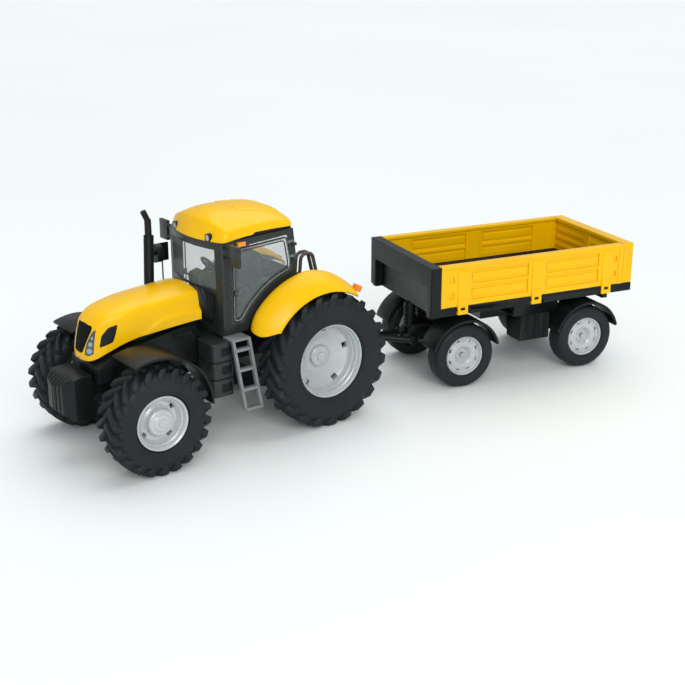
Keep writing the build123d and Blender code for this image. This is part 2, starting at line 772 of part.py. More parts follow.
# ---- rear wings, steps, tank and other outside pieces ----
FENDER_ANGLES = (28, 121)
with BuildPart() as fender_left:
    ring(
        REAR_AXLE,
        [
            (61.8, 72.4),
            (64.4, 72.4),
            (69.5, 68),
            (74.5, 61),
            (79, 51),
            (80, 44.6),
            (62, 44.6),
            (62, 46.6),
            (77, 46.6),
            (76.4, 50.6),
            (72, 60),
            (67, 66.6),
            (61.8, 70.8),
        ],
    )
    arc_band(REAR_AXLE, (40, 90), FENDER_ANGLES, (40, 80), Mode.INTERSECT)
    block((14, 24), (SIDE_Y + 0.02, 46.6), (129.6, 133))
tractor["fender_left"] = fender_left.part
tractor["fender_right"] = mirrored(fender_left.part)

with BuildPart() as marker_lamps:
    for side in (-1, 1):
        arc_band(REAR_AXLE, (65.6, 71), (121.2, 125), sorted((side * 58.5, side * 67)))
        block((66, 73.6), sorted((side * (SIDE_Y + 0.05), side * (SIDE_Y + 3))), (168.2, 171.8))
tractor["marker_lamps"] = marker_lamps.part

EXHAUST_Y = -35.4
with BuildPart() as exhaust:
    rod((117, EXHAUST_Y, 88), (113.4, EXHAUST_Y, 168), 4.4)
    rod((113.6, EXHAUST_Y, 166), (113.6, EXHAUST_Y, 182), 3)
    rod((113.6, EXHAUST_Y, 181), (117.4, EXHAUST_Y - 0.6, 189.6), 2.6)
    block((110, 122), (EXHAUST_Y - 2, -24.6), (88, 94))
tractor["exhaust"] = exhaust.part

with BuildPart() as air_cleaner:
    rod((91, -41, 149.4), (106, -41, 149.4), 8.2)
    rod((104, -41, 150), (114.2, EXHAUST_Y - 4.6, 150), 2.2)
    rod((99, -37.5, 145), (99, -37.5, 120), 1.6)
    rod((95, -40, 145), (95, -40, 120), 1.6)
    block((86, 100), (-42.5, -36), (117, 121))
    rod((114.6, EXHAUST_Y, 130), (114.4, EXHAUST_Y, 160), 5, Mode.SUBTRACT)
    block((80, 100), (-SIDE_Y - 0.02, 0), (90, 180), Mode.SUBTRACT)
tractor["air_cleaner"] = air_cleaner.part

with BuildPart() as mirror_left:
    block((83.4, 86.4), (51.5, 64.5), (156, 173.5))
    rod((85, SIDE_Y + 0.02, 169.4), (85, 52.6, 170.4), 1.4)
    rod((85, SIDE_Y + 0.02, 161), (85, 52.6, 160), 1.4)
tractor["mirror_left"] = mirror_left.part
tractor["mirror_right"] = mirrored(mirror_left.part)

with BuildPart() as fuel_tank:
    block((84, 106), (24.7, 51), (42, 90))
    fillet(fuel_tank.edges().filter_by(Axis.Z).sort_by(Axis.Y)[-2:], 5)
    for groove_z in (58.0, 73.0):
        block((80, 110), (50, 52), (groove_z - 0.6, groove_z + 0.6), Mode.SUBTRACT)
tractor["fuel_tank"] = fuel_tank.part
tractor["battery_box"] = mirrored(fuel_tank.part)

RUNG_COUNT = 4
with BuildPart() as ladder_left:
    for top_x, bottom_x in ((87.4, 81.4), (71.6, 65.6)):
        with BuildSketch(Plane.XY.offset(91.9)):
            with Locations((top_x, 53.5)):
                Rectangle(2.4, 4)
        with BuildSketch(Plane.XY.offset(31)):
            with Locations((bottom_x, 61.5)):
                Rectangle(2.4, 4)
        loft()
    for step in range(RUNG_COUNT):
        share = (step + 0.5) / (RUNG_COUNT - 0.4)
        z = 90 - share * 62
        y = 51.4 + share * 8.4
        x = 70.8 - share * 6
        block((x, x + 17), (y, y + 5), (z, z + 2.2))
    block((70.4, 88.6), (SIDE_Y - 2, 55.5), (90.1, 91.9))
tractor["ladder_left"] = ladder_left.part
tractor["ladder_right"] = mirrored(ladder_left.part)


# ---- trailer: bogie and drawbar ----
GUARD_TRAILER_R = (34.0, 36.5)
GUARD_TRAILER_ANGLES = (16, 166)
TURNTABLE_R = 21.5


def wheel_guards(axle):
    """Mudguards over a pair of trailer wheels, each with a cheek on its inner side."""
    for y_range, cheek in (((36, 62), (36, 37.8)), ((-62, -36), (-37.8, -36))):
        arc_band(axle, GUARD_TRAILER_R, GUARD_TRAILER_ANGLES, y_range)
        arc_band(axle, (8, 35), (50, 130), cheek)


def drawbar_rod(y_range, radius, mode=Mode.ADD):
    """A round length on the line where the drawbar pivots up and down."""
    x, z = DRAWBAR_HINGE
    rod((x, y_range[0], z), (x, y_range[1], z), radius, mode)


with BuildPart() as bogie:
    rod((BOGIE_X, 0, 58), (BOGIE_X, 0, 61.6), TURNTABLE_R)
    block((BOGIE_X - 9, BOGIE_X + 9), (-30, 30), (44, 58.4))
    twin_block((BOGIE_X - 7, BOGIE_X + 7), (20, 29), (24, 46))
    twin_block((BOGIE_X - 5, BOGIE_X + 5), (28, 36.6), (44, 52))
    wheel_guards(BOGIE_AXLE)
    block((BOGIE_X + 8, -66), (-11, 11), (42, 52))
    rod((-67, 0, 48), (-67, 0, 73), 5.4)
    for side in (-1, 1):
        lug_y = sorted((side * 5, side * 10))
        block((-68.4, -63), lug_y, (36, 46))
        drawbar_rod(lug_y, 4.6)
    drawbar_rod((-12, 12), 2.5 + RUN_FIT, Mode.SUBTRACT)
    rod((BOGIE_X, -40, TRAILER_R), (BOGIE_X, 40, TRAILER_R), TRAILER_AXLE_R + RUN_FIT, Mode.SUBTRACT)
    rod((BOGIE_X, 0, 40), (BOGIE_X, 0, 70), 3 + RUN_FIT, Mode.SUBTRACT)
trailer["bogie"] = bogie.part

with BuildPart() as drawbar:
    rod((0, 0, EYE_Z[0]), (0, 0, EYE_Z[1]), 6)
    block((-30, 0), (-4.5, 4.5), EYE_Z)
    for side in (-1, 1):
        rod((-27, side * 2, 43), (DRAWBAR_HINGE[0], side * 15, DRAWBAR_HINGE[1]), 3)
        drawbar_rod(sorted((side * 12, side * 18)), 4.2)
    drawbar_rod((-16, 16), 2.5)
    rod((0, 0, 30), (0, 0, 60), 2.5 + RUN_FIT, Mode.SUBTRACT)
trailer["drawbar"] = drawbar.part

with BuildPart() as turntable_pin:
    rod((BOGIE_X, 0, 44.4), (BOGIE_X, 0, 66), 3)
trailer["turntable_pin"] = turntable_pin.part

for name, axle in (("front", BOGIE_AXLE), ("rear", TRAILER_AXLE)):
    with BuildPart() as trailer_axle:
        rod((axle[0], -55.4, axle[1]), (axle[0], 55.4, axle[1]), TRAILER_AXLE_R)
    trailer[f"trailer_{name}_axle"] = trailer_axle.part
    trailer[f"trailer_{name}_rims"] = trailer_rims(axle)
    trailer[f"trailer_{name}_tyres"] = trailer_tyres(axle)


# ---- trailer: frame, bed and boards ----
with BuildPart() as trailer_chassis:
    twin_block((-262, -82), (14, 20), (62, 75))
    for beam_x in (-262, -204, -160):
        block((beam_x, beam_x + 6), (-50, 50), (66, 75))
    rod((BOGIE_X, 0, 62), (BOGIE_X, 0, 66), TURNTABLE_R)
    block((BOGIE_X - 14, BOGIE_X + 14), (-20, 20), (64, 75))
    rod((BOGIE_X, 0, 60), (BOGIE_X, 0, 66.1), 3 + SNUG_FIT, Mode.SUBTRACT)
    twin_block((TRAILER_REAR_X - 7, TRAILER_REAR_X + 7), (20, 29), (24, 66))
    twin_block((TRAILER_REAR_X - 5, TRAILER_REAR_X + 5), (28, 36.6), (44, 52))
    twin_block((TRAILER_REAR_X - 10, TRAILER_REAR_X + 10), (14, 24), (60, 66))
    wheel_guards(TRAILER_AXLE)
    twin_block((-204, -154), (46, 50), (60.2, 75))
    twin_block((-204, -154), (20, 50), (60.2, 63))
    rod(
        (TRAILER_REAR_X, -40, TRAILER_R),
        (TRAILER_REAR_X, 40, TRAILER_R),
        TRAILER_AXLE_R + RUN_FIT,
        Mode.SUBTRACT,
    )
trailer["trailer_chassis"] = trailer_chassis.part

with BuildPart() as toolboxes:
    twin_block((-195, -162), (26, 50), (34, 60))
    for groove in range(5):
        groove_x = -189.0 + groove * 5.2
        twin_block((groove_x, groove_x + 1.2), (49, 51), (35.5, 58.5), Mode.SUBTRACT)
trailer["toolboxes"] = toolboxes.part

HINGE_BAR_R = 1.5
NOTCH_DEPTH = 7.0
with BuildPart() as trailer_bed:
    block((BOX_REAR, BOX_FRONT - 0.02), (-BOX_HALF, BOX_HALF), BED_Z)
    block((-268.4, BOX_FRONT - 0.02), (-56.5, 56.5), (82, FLOOR_TOP))
    for strap in STRAPS_X:
        notch_x = (strap[0] - GAP, strap[1] + GAP)
        twin_block(notch_x, (BOX_HALF - NOTCH_DEPTH, BOX_HALF + 1), (74, 84), Mode.SUBTRACT)
        for side in (-1, 1):
            bar_y = side * SIDE_HINGE[0]
            bar_z = SIDE_HINGE[1]
            rod((notch_x[0] - 1, bar_y, bar_z), (notch_x[1] + 1, bar_y, bar_z), HINGE_BAR_R)
    block((-269.4, -268.4), (-57, 57), (83, 92), Mode.SUBTRACT)
    for strap in TAILGATE_STRAPS_Y:
        notch_y = (strap[0] - GAP, strap[1] + GAP)
        block((BOX_REAR - 1, BOX_REAR + NOTCH_DEPTH), notch_y, (74, 84), Mode.SUBTRACT)
        bar_x = BOX_REAR + 1
        rod((bar_x, notch_y[0] - 1, SIDE_HINGE[1]), (bar_x, notch_y[1] + 1, SIDE_HINGE[1]), HINGE_BAR_R)
trailer["trailer_bed"] = trailer_bed.part

with BuildPart() as bulkhead:
    block((BOX_FRONT, BOX_FRONT + 10), (-64, 64), (76, BOARD_TOP))
    block((BOX_FRONT + 2, BOX_FRONT + 12), (-54.5, 54.5), (70, 103), Mode.SUBTRACT)
trailer["bulkhead"] = bulkhead.part

BOARD_X = (BOX_FRONT - 202.4, BOX_FRONT - 0.6)
BOARD_Y = (BOX_HALF - BOARD_THICK, BOX_HALF)
BOARD_Z = (BED_Z[1] + GAP, BOARD_TOP)
with BuildPart() as side_board_left:
    block(BOARD_X, BOARD_Y, BOARD_Z)
    block(BOARD_X, (BOARD_Y[0] - 1.5, BOARD_Y[1] + 1), (BOARD_TOP - 3.6, BOARD_TOP))
    for panel in ((-161, -99), (-242, -181)):
        for face in ((BOARD_Y[1] - 1.2, BOARD_Y[1] + 0.5), (BOARD_Y[0] - 0.5, BOARD_Y[0] + 1.2)):
            block(panel, face, (88, 101), Mode.SUBTRACT)
            block(panel, face, (104, 117), Mode.SUBTRACT)
    for strap in STRAPS_X:
        block(strap, (SIDE_HINGE[0] - 2.5, BOX_HALF + 1.5), (BED_Z[0] + 0.2, BOARD_Z[0] + 6))
    rod((-270, *SIDE_HINGE), (-60, *SIDE_HINGE), HINGE_BAR_R + RUN_FIT, Mode.SUBTRACT)
trailer["side_board_left"] = side_board_left.part
trailer["side_board_right"] = mirrored(side_board_left.part)

GATE_X = (BOX_REAR, BOX_REAR + TAILGATE_THICK)
with BuildPart() as tailgate:
    block(GATE_X, (-BOX_HALF, BOX_HALF), BOARD_Z)
    for panel in ((-58, -4), (4, 58)):
        block((GATE_X[0] - 1, GATE_X[0] + 2), panel, (88, 101), Mode.SUBTRACT)
        block((GATE_X[0] - 1, GATE_X[0] + 2), panel, (104, 117), Mode.SUBTRACT)
    for strap in TAILGATE_STRAPS_Y:
        block((BOX_REAR - 1.5, BOX_REAR + 3.5), strap, (BED_Z[0] + 0.2, BOARD_Z[0] + 2))
    gate_hinge = (BOX_REAR + 1, SIDE_HINGE[1])
    rod(
        (gate_hinge[0], -60, gate_hinge[1]),
        (gate_hinge[0], 60, gate_hinge[1]),
        HINGE_BAR_R + RUN_FIT,
        Mode.SUBTRACT,
    )
trailer["tailgate"] = tailgate.part


# ---- placing and writing: the whole stands on Z = 0, centred in plan on its own box ----
TRAILER_FRAME = Location((HITCH_X, 0, 0), (0, 0, TRAILER_YAW))
pieces = dict(tractor)
for name, piece in trailer.items():
    pieces[name] = piece.moved(TRAILER_FRAME)
whole = Compound(list(pieces.values())).bounding_box()
CENTRE = Location((-whole.center().X, -whole.center().Y, 0))

if __name__ == "__main__":
    for name, piece in pieces.items():
        placed = piece.moved(CENTRE)
        placed.label = name
        export_step(placed, f"parts/{name}.step")
    print(len(pieces), "pieces", whole.size, "centre", whole.center())
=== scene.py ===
import json
from math import atan2, cos, pi, radians, sin

import bmesh
import bpy
from mathutils import Matrix, Vector

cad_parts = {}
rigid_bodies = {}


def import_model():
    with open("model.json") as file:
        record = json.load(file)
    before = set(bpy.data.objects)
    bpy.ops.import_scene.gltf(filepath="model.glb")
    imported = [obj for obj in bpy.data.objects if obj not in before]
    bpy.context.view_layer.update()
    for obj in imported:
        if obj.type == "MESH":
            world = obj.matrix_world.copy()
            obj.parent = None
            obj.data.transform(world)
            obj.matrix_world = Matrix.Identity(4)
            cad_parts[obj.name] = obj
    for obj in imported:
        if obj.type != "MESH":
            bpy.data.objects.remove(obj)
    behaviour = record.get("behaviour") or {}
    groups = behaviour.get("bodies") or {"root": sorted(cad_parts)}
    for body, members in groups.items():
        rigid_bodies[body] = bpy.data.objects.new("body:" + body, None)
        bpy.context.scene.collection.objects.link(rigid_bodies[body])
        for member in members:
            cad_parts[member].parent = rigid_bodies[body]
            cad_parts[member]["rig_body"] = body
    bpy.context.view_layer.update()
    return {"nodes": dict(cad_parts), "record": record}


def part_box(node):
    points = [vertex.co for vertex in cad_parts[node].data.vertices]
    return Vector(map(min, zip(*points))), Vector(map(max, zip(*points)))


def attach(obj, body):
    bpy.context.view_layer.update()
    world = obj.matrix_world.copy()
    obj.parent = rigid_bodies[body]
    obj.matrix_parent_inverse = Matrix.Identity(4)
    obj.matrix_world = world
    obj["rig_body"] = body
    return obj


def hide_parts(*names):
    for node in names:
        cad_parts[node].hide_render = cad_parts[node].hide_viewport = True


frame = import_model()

# Toy tractor with a hitched four-wheel trailer. Shapes are written in millimetres, in the tractor's own
# frame (origin on the floor under the rear axle) or the trailer's (origin under the hitch pin), X forward.
MM = 0.001


# ---- the two frames, and where the CAD nodes are in them ----
def middle(node):
    low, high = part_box(node)
    return (low + high) / 2


def placed(point, turn=0.0):
    """A frame that stands on the floor under a point, turned about Z, with millimetres as its unit."""
    base = Matrix.Translation((point.x, point.y, 0))
    return base @ Matrix.Rotation(turn, 4, "Z") @ Matrix.Scale(MM, 4)


TRAILER_LINE = middle("trailer_front_axle") - middle("trailer_rear_axle")
TRACTOR = placed(middle("rear_axle"))
TRAILER = placed(middle("hitch_pin"), atan2(TRAILER_LINE.y, TRAILER_LINE.x))


def span(node, space, left_only=False):
    """The lowest and highest corner of a CAD node, in the tractor's or the trailer's frame."""
    back = space.inverted()
    points = [back @ v.co for v in frame["nodes"][node].data.vertices]
    if left_only:
        points = [p for p in points if p.y > 0]
    low = Vector([min(p[i] for p in points) for i in range(3)])
    high = Vector([max(p[i] for p in points) for i in range(3)])
    return low, high


def body_of(node):
    return frame["nodes"][node]["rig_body"]


def wheel_size(node, space):
    """A left wheel part: its axle at (x, z), its radius, and its inner and outer end along Y."""
    low, high = span(node, space, left_only=True)
    return ((low.x + high.x) / 2, (low.z + high.z) / 2), (high.z - low.z) / 2, low.y, high.y


done = set()  # the CAD nodes that a piece already stands for


# ---- mesh helpers: each adds to a bmesh, in millimetres ----
def add_faces(bm, points, faces):
    verts = [bm.verts.new(p) for p in points]
    for face in faces:
        bm.faces.new([verts[i] for i in face])
    return verts


def box(bm, x, y, z):
    points = [(a, b, c) for a in x for b in y for c in z]
    faces = [(0, 1, 3, 2), (4, 6, 7, 5), (0, 4, 5, 1), (2, 3, 7, 6), (0, 2, 6, 4), (1, 5, 7, 3)]
    return add_faces(bm, points, faces)


def prism(bm, outline, axis, ends):
    """A flat outline carried along an axis: the outline gives the other two coordinates in order."""
    place = {
        "X": lambda p, e: (e, p[0], p[1]),
        "Y": lambda p, e: (p[0], e, p[1]),
        "Z": lambda p, e: (p[0], p[1], e),
    }[axis]
    n = len(outline)
    points = [place(p, e) for e in ends for p in outline]
    faces = [tuple(range(n)), tuple(range(2 * n - 1, n - 1, -1))]
    faces += [(i, (i + 1) % n, n + (i + 1) % n, n + i) for i in range(n)]
    add_faces(bm, points, faces)


def grid(bm, rows, wrap_rows=False, wrap_columns=False):
    """Quads through rows of points."""
    verts = [[bm.verts.new(p) for p in row] for row in rows]
    row_count, column_count = len(rows), len(rows[0])
    for i in range(row_count if wrap_rows else row_count - 1):
        for j in range(column_count if wrap_columns else column_count - 1):
            a, b = verts[i], verts[(i + 1) % row_count]
            k = (j + 1) % column_count
            bm.faces.new((a[j], a[k], b[k], b[j]))
    return verts


def turns(count):
    """Angles evenly spaced round a full turn."""
    return [2 * pi * k / count for k in range(count)]


def close_ends(bm, verts):
    """Caps the first and the last ring of a grid."""
    bm.faces.new(list(reversed(verts[0])))
    bm.faces.new(verts[-1])


def lathe(bm, axle, outline, steps=96):
    """A closed outline of (radius, y) turned about an axle that lies along Y at (x, z)."""
    rows = [[(axle[0] + r * cos(a), y, axle[1] + r * sin(a)) for r, y in outline] for a in turns(steps)]
    grid(bm, rows, wrap_rows=True, wrap_columns=True)
    bmesh.ops.remove_doubles(bm, verts=bm.verts[:], dist=1e-5)


def tube(bm, path, radius, steps=16, caps=True):
    """A round tube along a path of points; radius is one number or one for each point."""
    path = [Vector(p) for p in path]
    radii = radius if isinstance(radius, (list, tuple)) else [radius] * len(path)
    rows = []
    side = (path[1] - path[0]).normalized().orthogonal().normalized()
    for i, point in enumerate(path):
        ahead = path[min(i + 1, len(path) - 1)] - path[max(i - 1, 0)]
        ahead.normalize()
        side = (side - ahead * side.dot(ahead)).normalized()
        up = ahead.cross(side)
        rows.append([point + (side * cos(a) + up * sin(a)) * radii[i] for a in turns(steps)])
    verts = grid(bm, rows, wrap_columns=True)
    if caps:
        close_ends(bm, verts)


def rod(bm, start, end, radius, steps=24):
    tube(bm, [start, end], radius, steps)


def smooth_line(points, steps=8, closed=False):
    """A curve through the points, with a few points of its own on each stretch."""
    points = [Vector(p) for p in points]
    count = len(points)
    out = []
    for i in range(count if closed else count - 1):
        if closed:
            p0, p1, p2, p3 = (points[(i + k) % count] for k in (-1, 0, 1, 2))
        else:
            p0, p1 = points[max(i - 1, 0)], points[i]
            p2, p3 = points[i + 1], points[min(i + 2, count - 1)]
        for k in range(steps):
            t = k / steps
            square = (2 * p0 - 5 * p1 + 4 * p2 - p3) * t * t
            cube = (3 * p1 - p0 - 3 * p2 + p3) * t * t * t
            out.append(0.5 * (2 * p1 + (p2 - p0) * t + square + cube))
    if not closed:
        out.append(points[-1])
    return out


def curve_value(points, x):
    """The height of a smooth line of (x, value) points at x."""
    if x <= points[0][0]:
        return points[0][1]
    for i in range(len(points) - 1):
        (x1, y1), (x2, y2) = points[i], points[i + 1]
        if x <= x2:
            x0, y0 = points[max(i - 1, 0)]
            x3, y3 = points[min(i + 2, len(points) - 1)]
            m1 = (y2 - y0) / (x2 - x0)
            m2 = (y3 - y1) / (x3 - x1)
            h = x2 - x1
            t = (x - x1) / h
            a = (1 + 2 * t) * (1 - t) ** 2
            b = t * (1 - t) ** 2
            c = t * t * (3 - 2 * t)
            d = t * t * (t - 1)
            return a * y1 + b * h * m1 + c * y2 + d * h * m2
    return points[-1][1]


def mirrored(bm):
    """A copy of a bmesh on the other side of the middle plane."""
    other = bm.copy()
    for v in other.verts:
        v.co.y = -v.co.y
    bmesh.ops.reverse_faces(other, faces=other.faces[:])
    return other


def with_mirror(bm):
    """Adds the mirror image of everything in a bmesh."""
    geometry = bm.verts[:] + bm.edges[:] + bm.faces[:]
    copy = bmesh.ops.duplicate(bm, geom=geometry)["geom"]
    for item in copy:
        if isinstance(item, bmesh.types.BMVert):
            item.co.y = -item.co.y
    faces = [item for item in copy if isinstance(item, bmesh.types.BMFace)]
    bmesh.ops.reverse_faces(bm, faces=faces)
    return bm


def outward(bm):
    bmesh.ops.recalc_face_normals(bm, faces=bm.faces[:])
    return bm


def stepped(solids, holes=()):
    """A square-sided solid: blocks joined together, then pockets cut, as one closed skin."""
    cuts = [sorted({v for shape in (*solids, *holes) for v in shape[k]}) for k in range(3)]
    counts = [len(line) - 1 for line in cuts]

    def within(shape, cell):
        return all(
            shape[k][0] <= cuts[k][cell[k]] and cuts[k][cell[k] + 1] <= shape[k][1] for k in range(3)
        )

    cells = [(i, j, k) for i in range(counts[0]) for j in range(counts[1]) for k in range(counts[2])]
    full = {
        cell
        for cell in cells
        if any(within(shape, cell) for shape in solids) and not any(within(shape, cell) for shape in holes)
    }
    bm = bmesh.new()
    corners = {}

    def corner(i, j, k):
        if (i, j, k) not in corners:
            corners[i, j, k] = bm.verts.new((cuts[0][i], cuts[1][j], cuts[2][k]))
        return corners[i, j, k]

    for i, j, k in full:
        for axis in range(3):
            for step in (0, 1):
                beside = [i, j, k]
                beside[axis] += 2 * step - 1
                if tuple(beside) in full:
                    continue
                spots = []
                for a, b in ((0, 0), (1, 0), (1, 1), (0, 1)):
                    spot = [i, j, k]
                    spot[axis] += step
                    spot[(axis + 1) % 3] += a
                    spot[(axis + 2) % 3] += b
                    spots.append(corner(*spot))
                bm.faces.new(spots if step else spots[::-1])
    bmesh.ops.dissolve_limit(bm, angle_limit=radians(1), verts=bm.verts[:], edges=bm.edges[:])
    return bm


def inset(outline, depth):
    """A closed flat outline drawn in by a depth, keeping its sides parallel."""
    n = len(outline)
    following = outline[1:] + outline[:1]
    area = sum(a[0] * b[1] - b[0] * a[1] for a, b in zip(outline, following))
    turn = 1 if area > 0 else -1
    out = []
    for i in range(n):
        here = Vector(outline[i])
        before = (here - Vector(outline[i - 1])).normalized()
        after = (Vector(outline[(i + 1) % n]) - here).normalized()
        in_before = Vector((-before.y, before.x)) * turn
        in_after = Vector((-after.y, after.x)) * turn
        way = (in_before + in_after).normalized()
        out.append(here + way * depth / max(0.3, way.dot(in_before)))
    return [(p.x, p.y) for p in out]


def eased(outline, reach, steps=5):
    """A closed outline with each corner rounded off."""
    n = len(outline)
    out = []
    for i in range(n):
        here = Vector(outline[i])
        ends = []
        for other in (Vector(outline[i - 1]), Vector(outline[(i + 1) % n])):
            gap = other - here
            ends.append(here + gap.normalized() * min(reach, gap.length * 0.45))
        for k in range(steps + 1):
            t = k / steps
            p = ends[0] * (1 - t) ** 2 + here * 2 * t * (1 - t) + ends[1] * t * t
            out.append((p.x, p.y))
    return out


# ---- turning a bmesh into a finished piece ----
def bake(obj):
    """Applies the piece's modifiers to its mesh."""
    bpy.context.view_layer.update()
    shown = obj.evaluated_get(bpy.context.evaluated_depsgraph_get())
    mesh = bpy.data.meshes.new_from_object(shown)
    obj.modifiers.clear()
    obj.data = mesh


def add_modifier(obj, kind, **settings):
    modifier = obj.modifiers.new(kind.lower(), kind)
    for key, value in settings.items():
        setattr(modifier, key, value)
    return modifier


def round_edges(obj, width, steps, sharp):
    add_modifier(
        obj, "BEVEL", width=width, segments=steps, limit_method="ANGLE", angle_limit=radians(sharp),
        use_clamp_overlap=True,
    )


def plain_object(name, bm):
    mesh = bpy.data.meshes.new(name)
    bm.to_mesh(mesh)
    bm.free()
    obj = bpy.data.objects.new(name, mesh)
    bpy.context.scene.collection.objects.link(obj)
    return obj


def piece(
    name, bm, space, material, body, replaces=(), slot=None,
    bevel=0.0, bevel_steps=2, wall=0.0, cutters=(), sharp=32,
):
    """Makes a piece from a bmesh in millimetres: wall, cuts and bevels, then into place."""
    obj = plain_object(name, bm)
    if wall:
        add_modifier(obj, "SOLIDIFY", thickness=wall, offset=-1, use_even_offset=True)
    tools = []
    for cutter in cutters:
        tool = plain_object(name + "_cut", cutter)
        tools.append(tool)
        add_modifier(obj, "BOOLEAN", operation="DIFFERENCE", object=tool, solver="EXACT")
    if bevel:
        round_edges(obj, bevel, bevel_steps, sharp)
    bake(obj)
    for tool in tools:
        bpy.data.objects.remove(tool)
    return settle(obj, space, material, body, replaces, sharp)


def settle(obj, space, material, body, replaces, sharp):
    """Moves a finished mesh into the shared frame and gives it its finish and its body."""
    if space is not None:
        obj.data.transform(space)
    obj.data.polygons.foreach_set("use_smooth", [True] * len(obj.data.polygons))
    obj.data.set_sharp_from_angle(angle=radians(sharp))
    obj.data.materials.clear()
    obj.data.materials.append(material)
    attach(obj, body)
    if replaces:
        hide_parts(*replaces)
        done.update(replaces)
    return obj


def pair(name, bm, space, material, nodes, **settings):
    """A left piece and its mirror image, which stand for the nodes NAME_left and NAME_right."""
    outward(bm)
    other = mirrored(bm)
    for side, shape in (("left", bm), ("right", other)):
        node = nodes.replace("*", side)
        cutters = [c.copy() if side == "left" else mirrored(c) for c in settings.get("cutters", ())]
        options = dict(settings, cutters=cutters)
        piece(f"{name}_{side}", shape, space, material, body_of(node), (node,), **options)


def dress(node, material, bevel=0.3, steps=2, sharp=32):
    """A CAD node's shape again, with its edges rounded as moulding leaves them."""
    bm = bmesh.new()
    bm.from_mesh(frame["nodes"][node].data)
    bmesh.ops.scale(bm, vec=(1000, 1000, 1000), verts=bm.verts[:])
    bmesh.ops.remove_doubles(bm, verts=bm.verts[:], dist=1e-3)
    bmesh.ops.dissolve_limit(bm, angle_limit=radians(1), verts=bm.verts[:], edges=bm.edges[:])
    obj = plain_object(node + "_shape", bm)
    if bevel:
        round_edges(obj, bevel, steps, sharp)
    bake(obj)
    return settle(obj, Matrix.Scale(MM, 4), material, body_of(node), (node,), sharp)


# ---- camera, light and floor ----
CAMERA_AT = Vector((616.96, 907.58, 443.40))
CAMERA_TO = Vector((-68.77, 0.0, 41.53))
SENSOR = 36.0
LENS = 66.5


def look(location, target):
    return (target - location).to_track_quat("-Z", "Y").to_euler()


camera_data = bpy.data.cameras.new("camera")
camera_data.sensor_width = SENSOR
camera_data.lens = LENS
camera_data.clip_start = 0.01
camera = bpy.data.objects.new("camera", camera_data)
camera.location = TRACTOR @ CAMERA_AT
camera.rotation_euler = look(camera.location, TRACTOR @ CAMERA_TO)
bpy.context.scene.collection.objects.link(camera)
bpy.context.scene.camera = camera

world = bpy.data.worlds.new("studio")
world.use_nodes = True
sky = world.node_tree.nodes["Background"]
sky.inputs["Color"].default_value = (0.95, 0.98, 1.0, 1)
sky.inputs["Strength"].default_value = 0.50
white = world.node_tree.nodes.new("ShaderNodeBackground")
white.inputs["Color"].default_value = (1, 1, 1, 1)
seen = world.node_tree.nodes.new("ShaderNodeLightPath")
choice = world.node_tree.nodes.new("ShaderNodeMixShader")
world.node_tree.links.new(seen.outputs["Is Camera Ray"], choice.inputs["Fac"])
world.node_tree.links.new(sky.outputs["Background"], choice.inputs[1])
world.node_tree.links.new(white.outputs["Background"], choice.inputs[2])
world.node_tree.links.new(choice.outputs["Shader"], world.node_tree.nodes["World Output"].inputs["Surface"])
bpy.context.scene.world = world
bpy.context.scene.view_settings.view_transform = "Standard"


def hang(name, data, at, to):
    lamp = bpy.data.objects.new(name, data)
    lamp.location = at
    lamp.rotation_euler = look(Vector(at), Vector(to))
    bpy.context.scene.collection.objects.link(lamp)


def even_light(name, at, angle, power):
    """A broad light from far off, from the direction AT."""
    data = bpy.data.lights.new(name, "SUN")
    data.angle = radians(angle)
    data.energy = power
    hang(name, data, at, (0, 0, 0))


even_light("overhead", (-0.35, -0.25, 1.0), 60, 1.30)
even_light("front_left", (0.55, 1.0, 0.75), 40, 1.30)


def soft_light(name, at, to, size, power):
    data = bpy.data.lights.new(name, "AREA")
    data.shape = "RECTANGLE"
    data.size, data.size_y = size
    data.energy = power
    hang(name, data, at, to)


soft_light("window", (0.35, 1.35, 0.75), (0, 0, 0.08), (0.35, 0.35), 2.2)


# ---- materials ----
def node_material(name):
    material = bpy.data.materials.new(name)
    material.use_nodes = True
    tree = material.node_tree
    return material, tree, tree.nodes["Principled BSDF"]


def noise(tree, scale, detail=3.0, roughness=0.55):
    where = tree.nodes.new("ShaderNodeTexCoord")
    pattern = tree.nodes.new("ShaderNodeTexNoise")
    pattern.inputs["Scale"].default_value = scale
    pattern.inputs["Detail"].default_value = detail
    pattern.inputs["Roughness"].default_value = roughness
    tree.links.new(where.outputs["Object"], pattern.inputs["Vector"])
    return pattern.outputs["Fac"]


def ramp(tree, value, low, high, start=0.3, stop=0.7):
    node = tree.nodes.new("ShaderNodeValToRGB")
    node.color_ramp.elements[0].position = start
    node.color_ramp.elements[0].color = (*low, 1)
    node.color_ramp.elements[1].position = stop
    node.color_ramp.elements[1].color = (*high, 1)
    tree.links.new(value, node.inputs["Fac"])
    return node.outputs["Color"]


def level(tree, value, low, high):
    node = tree.nodes.new("ShaderNodeMapRange")
    node.inputs["From Min"].default_value = 0.3
    node.inputs["From Max"].default_value = 0.7
    node.inputs["To Min"].default_value = low
    node.inputs["To Max"].default_value = high
    tree.links.new(value, node.inputs["Value"])
    return node.outputs["Result"]


def bump(tree, shader, value, strength, distance):
    node = tree.nodes.new("ShaderNodeBump")
    node.inputs["Strength"].default_value = strength
    node.inputs["Distance"].default_value = distance
    tree.links.new(value, node.inputs["Height"])
    tree.links.new(node.outputs["Normal"], shader.inputs["Normal"])


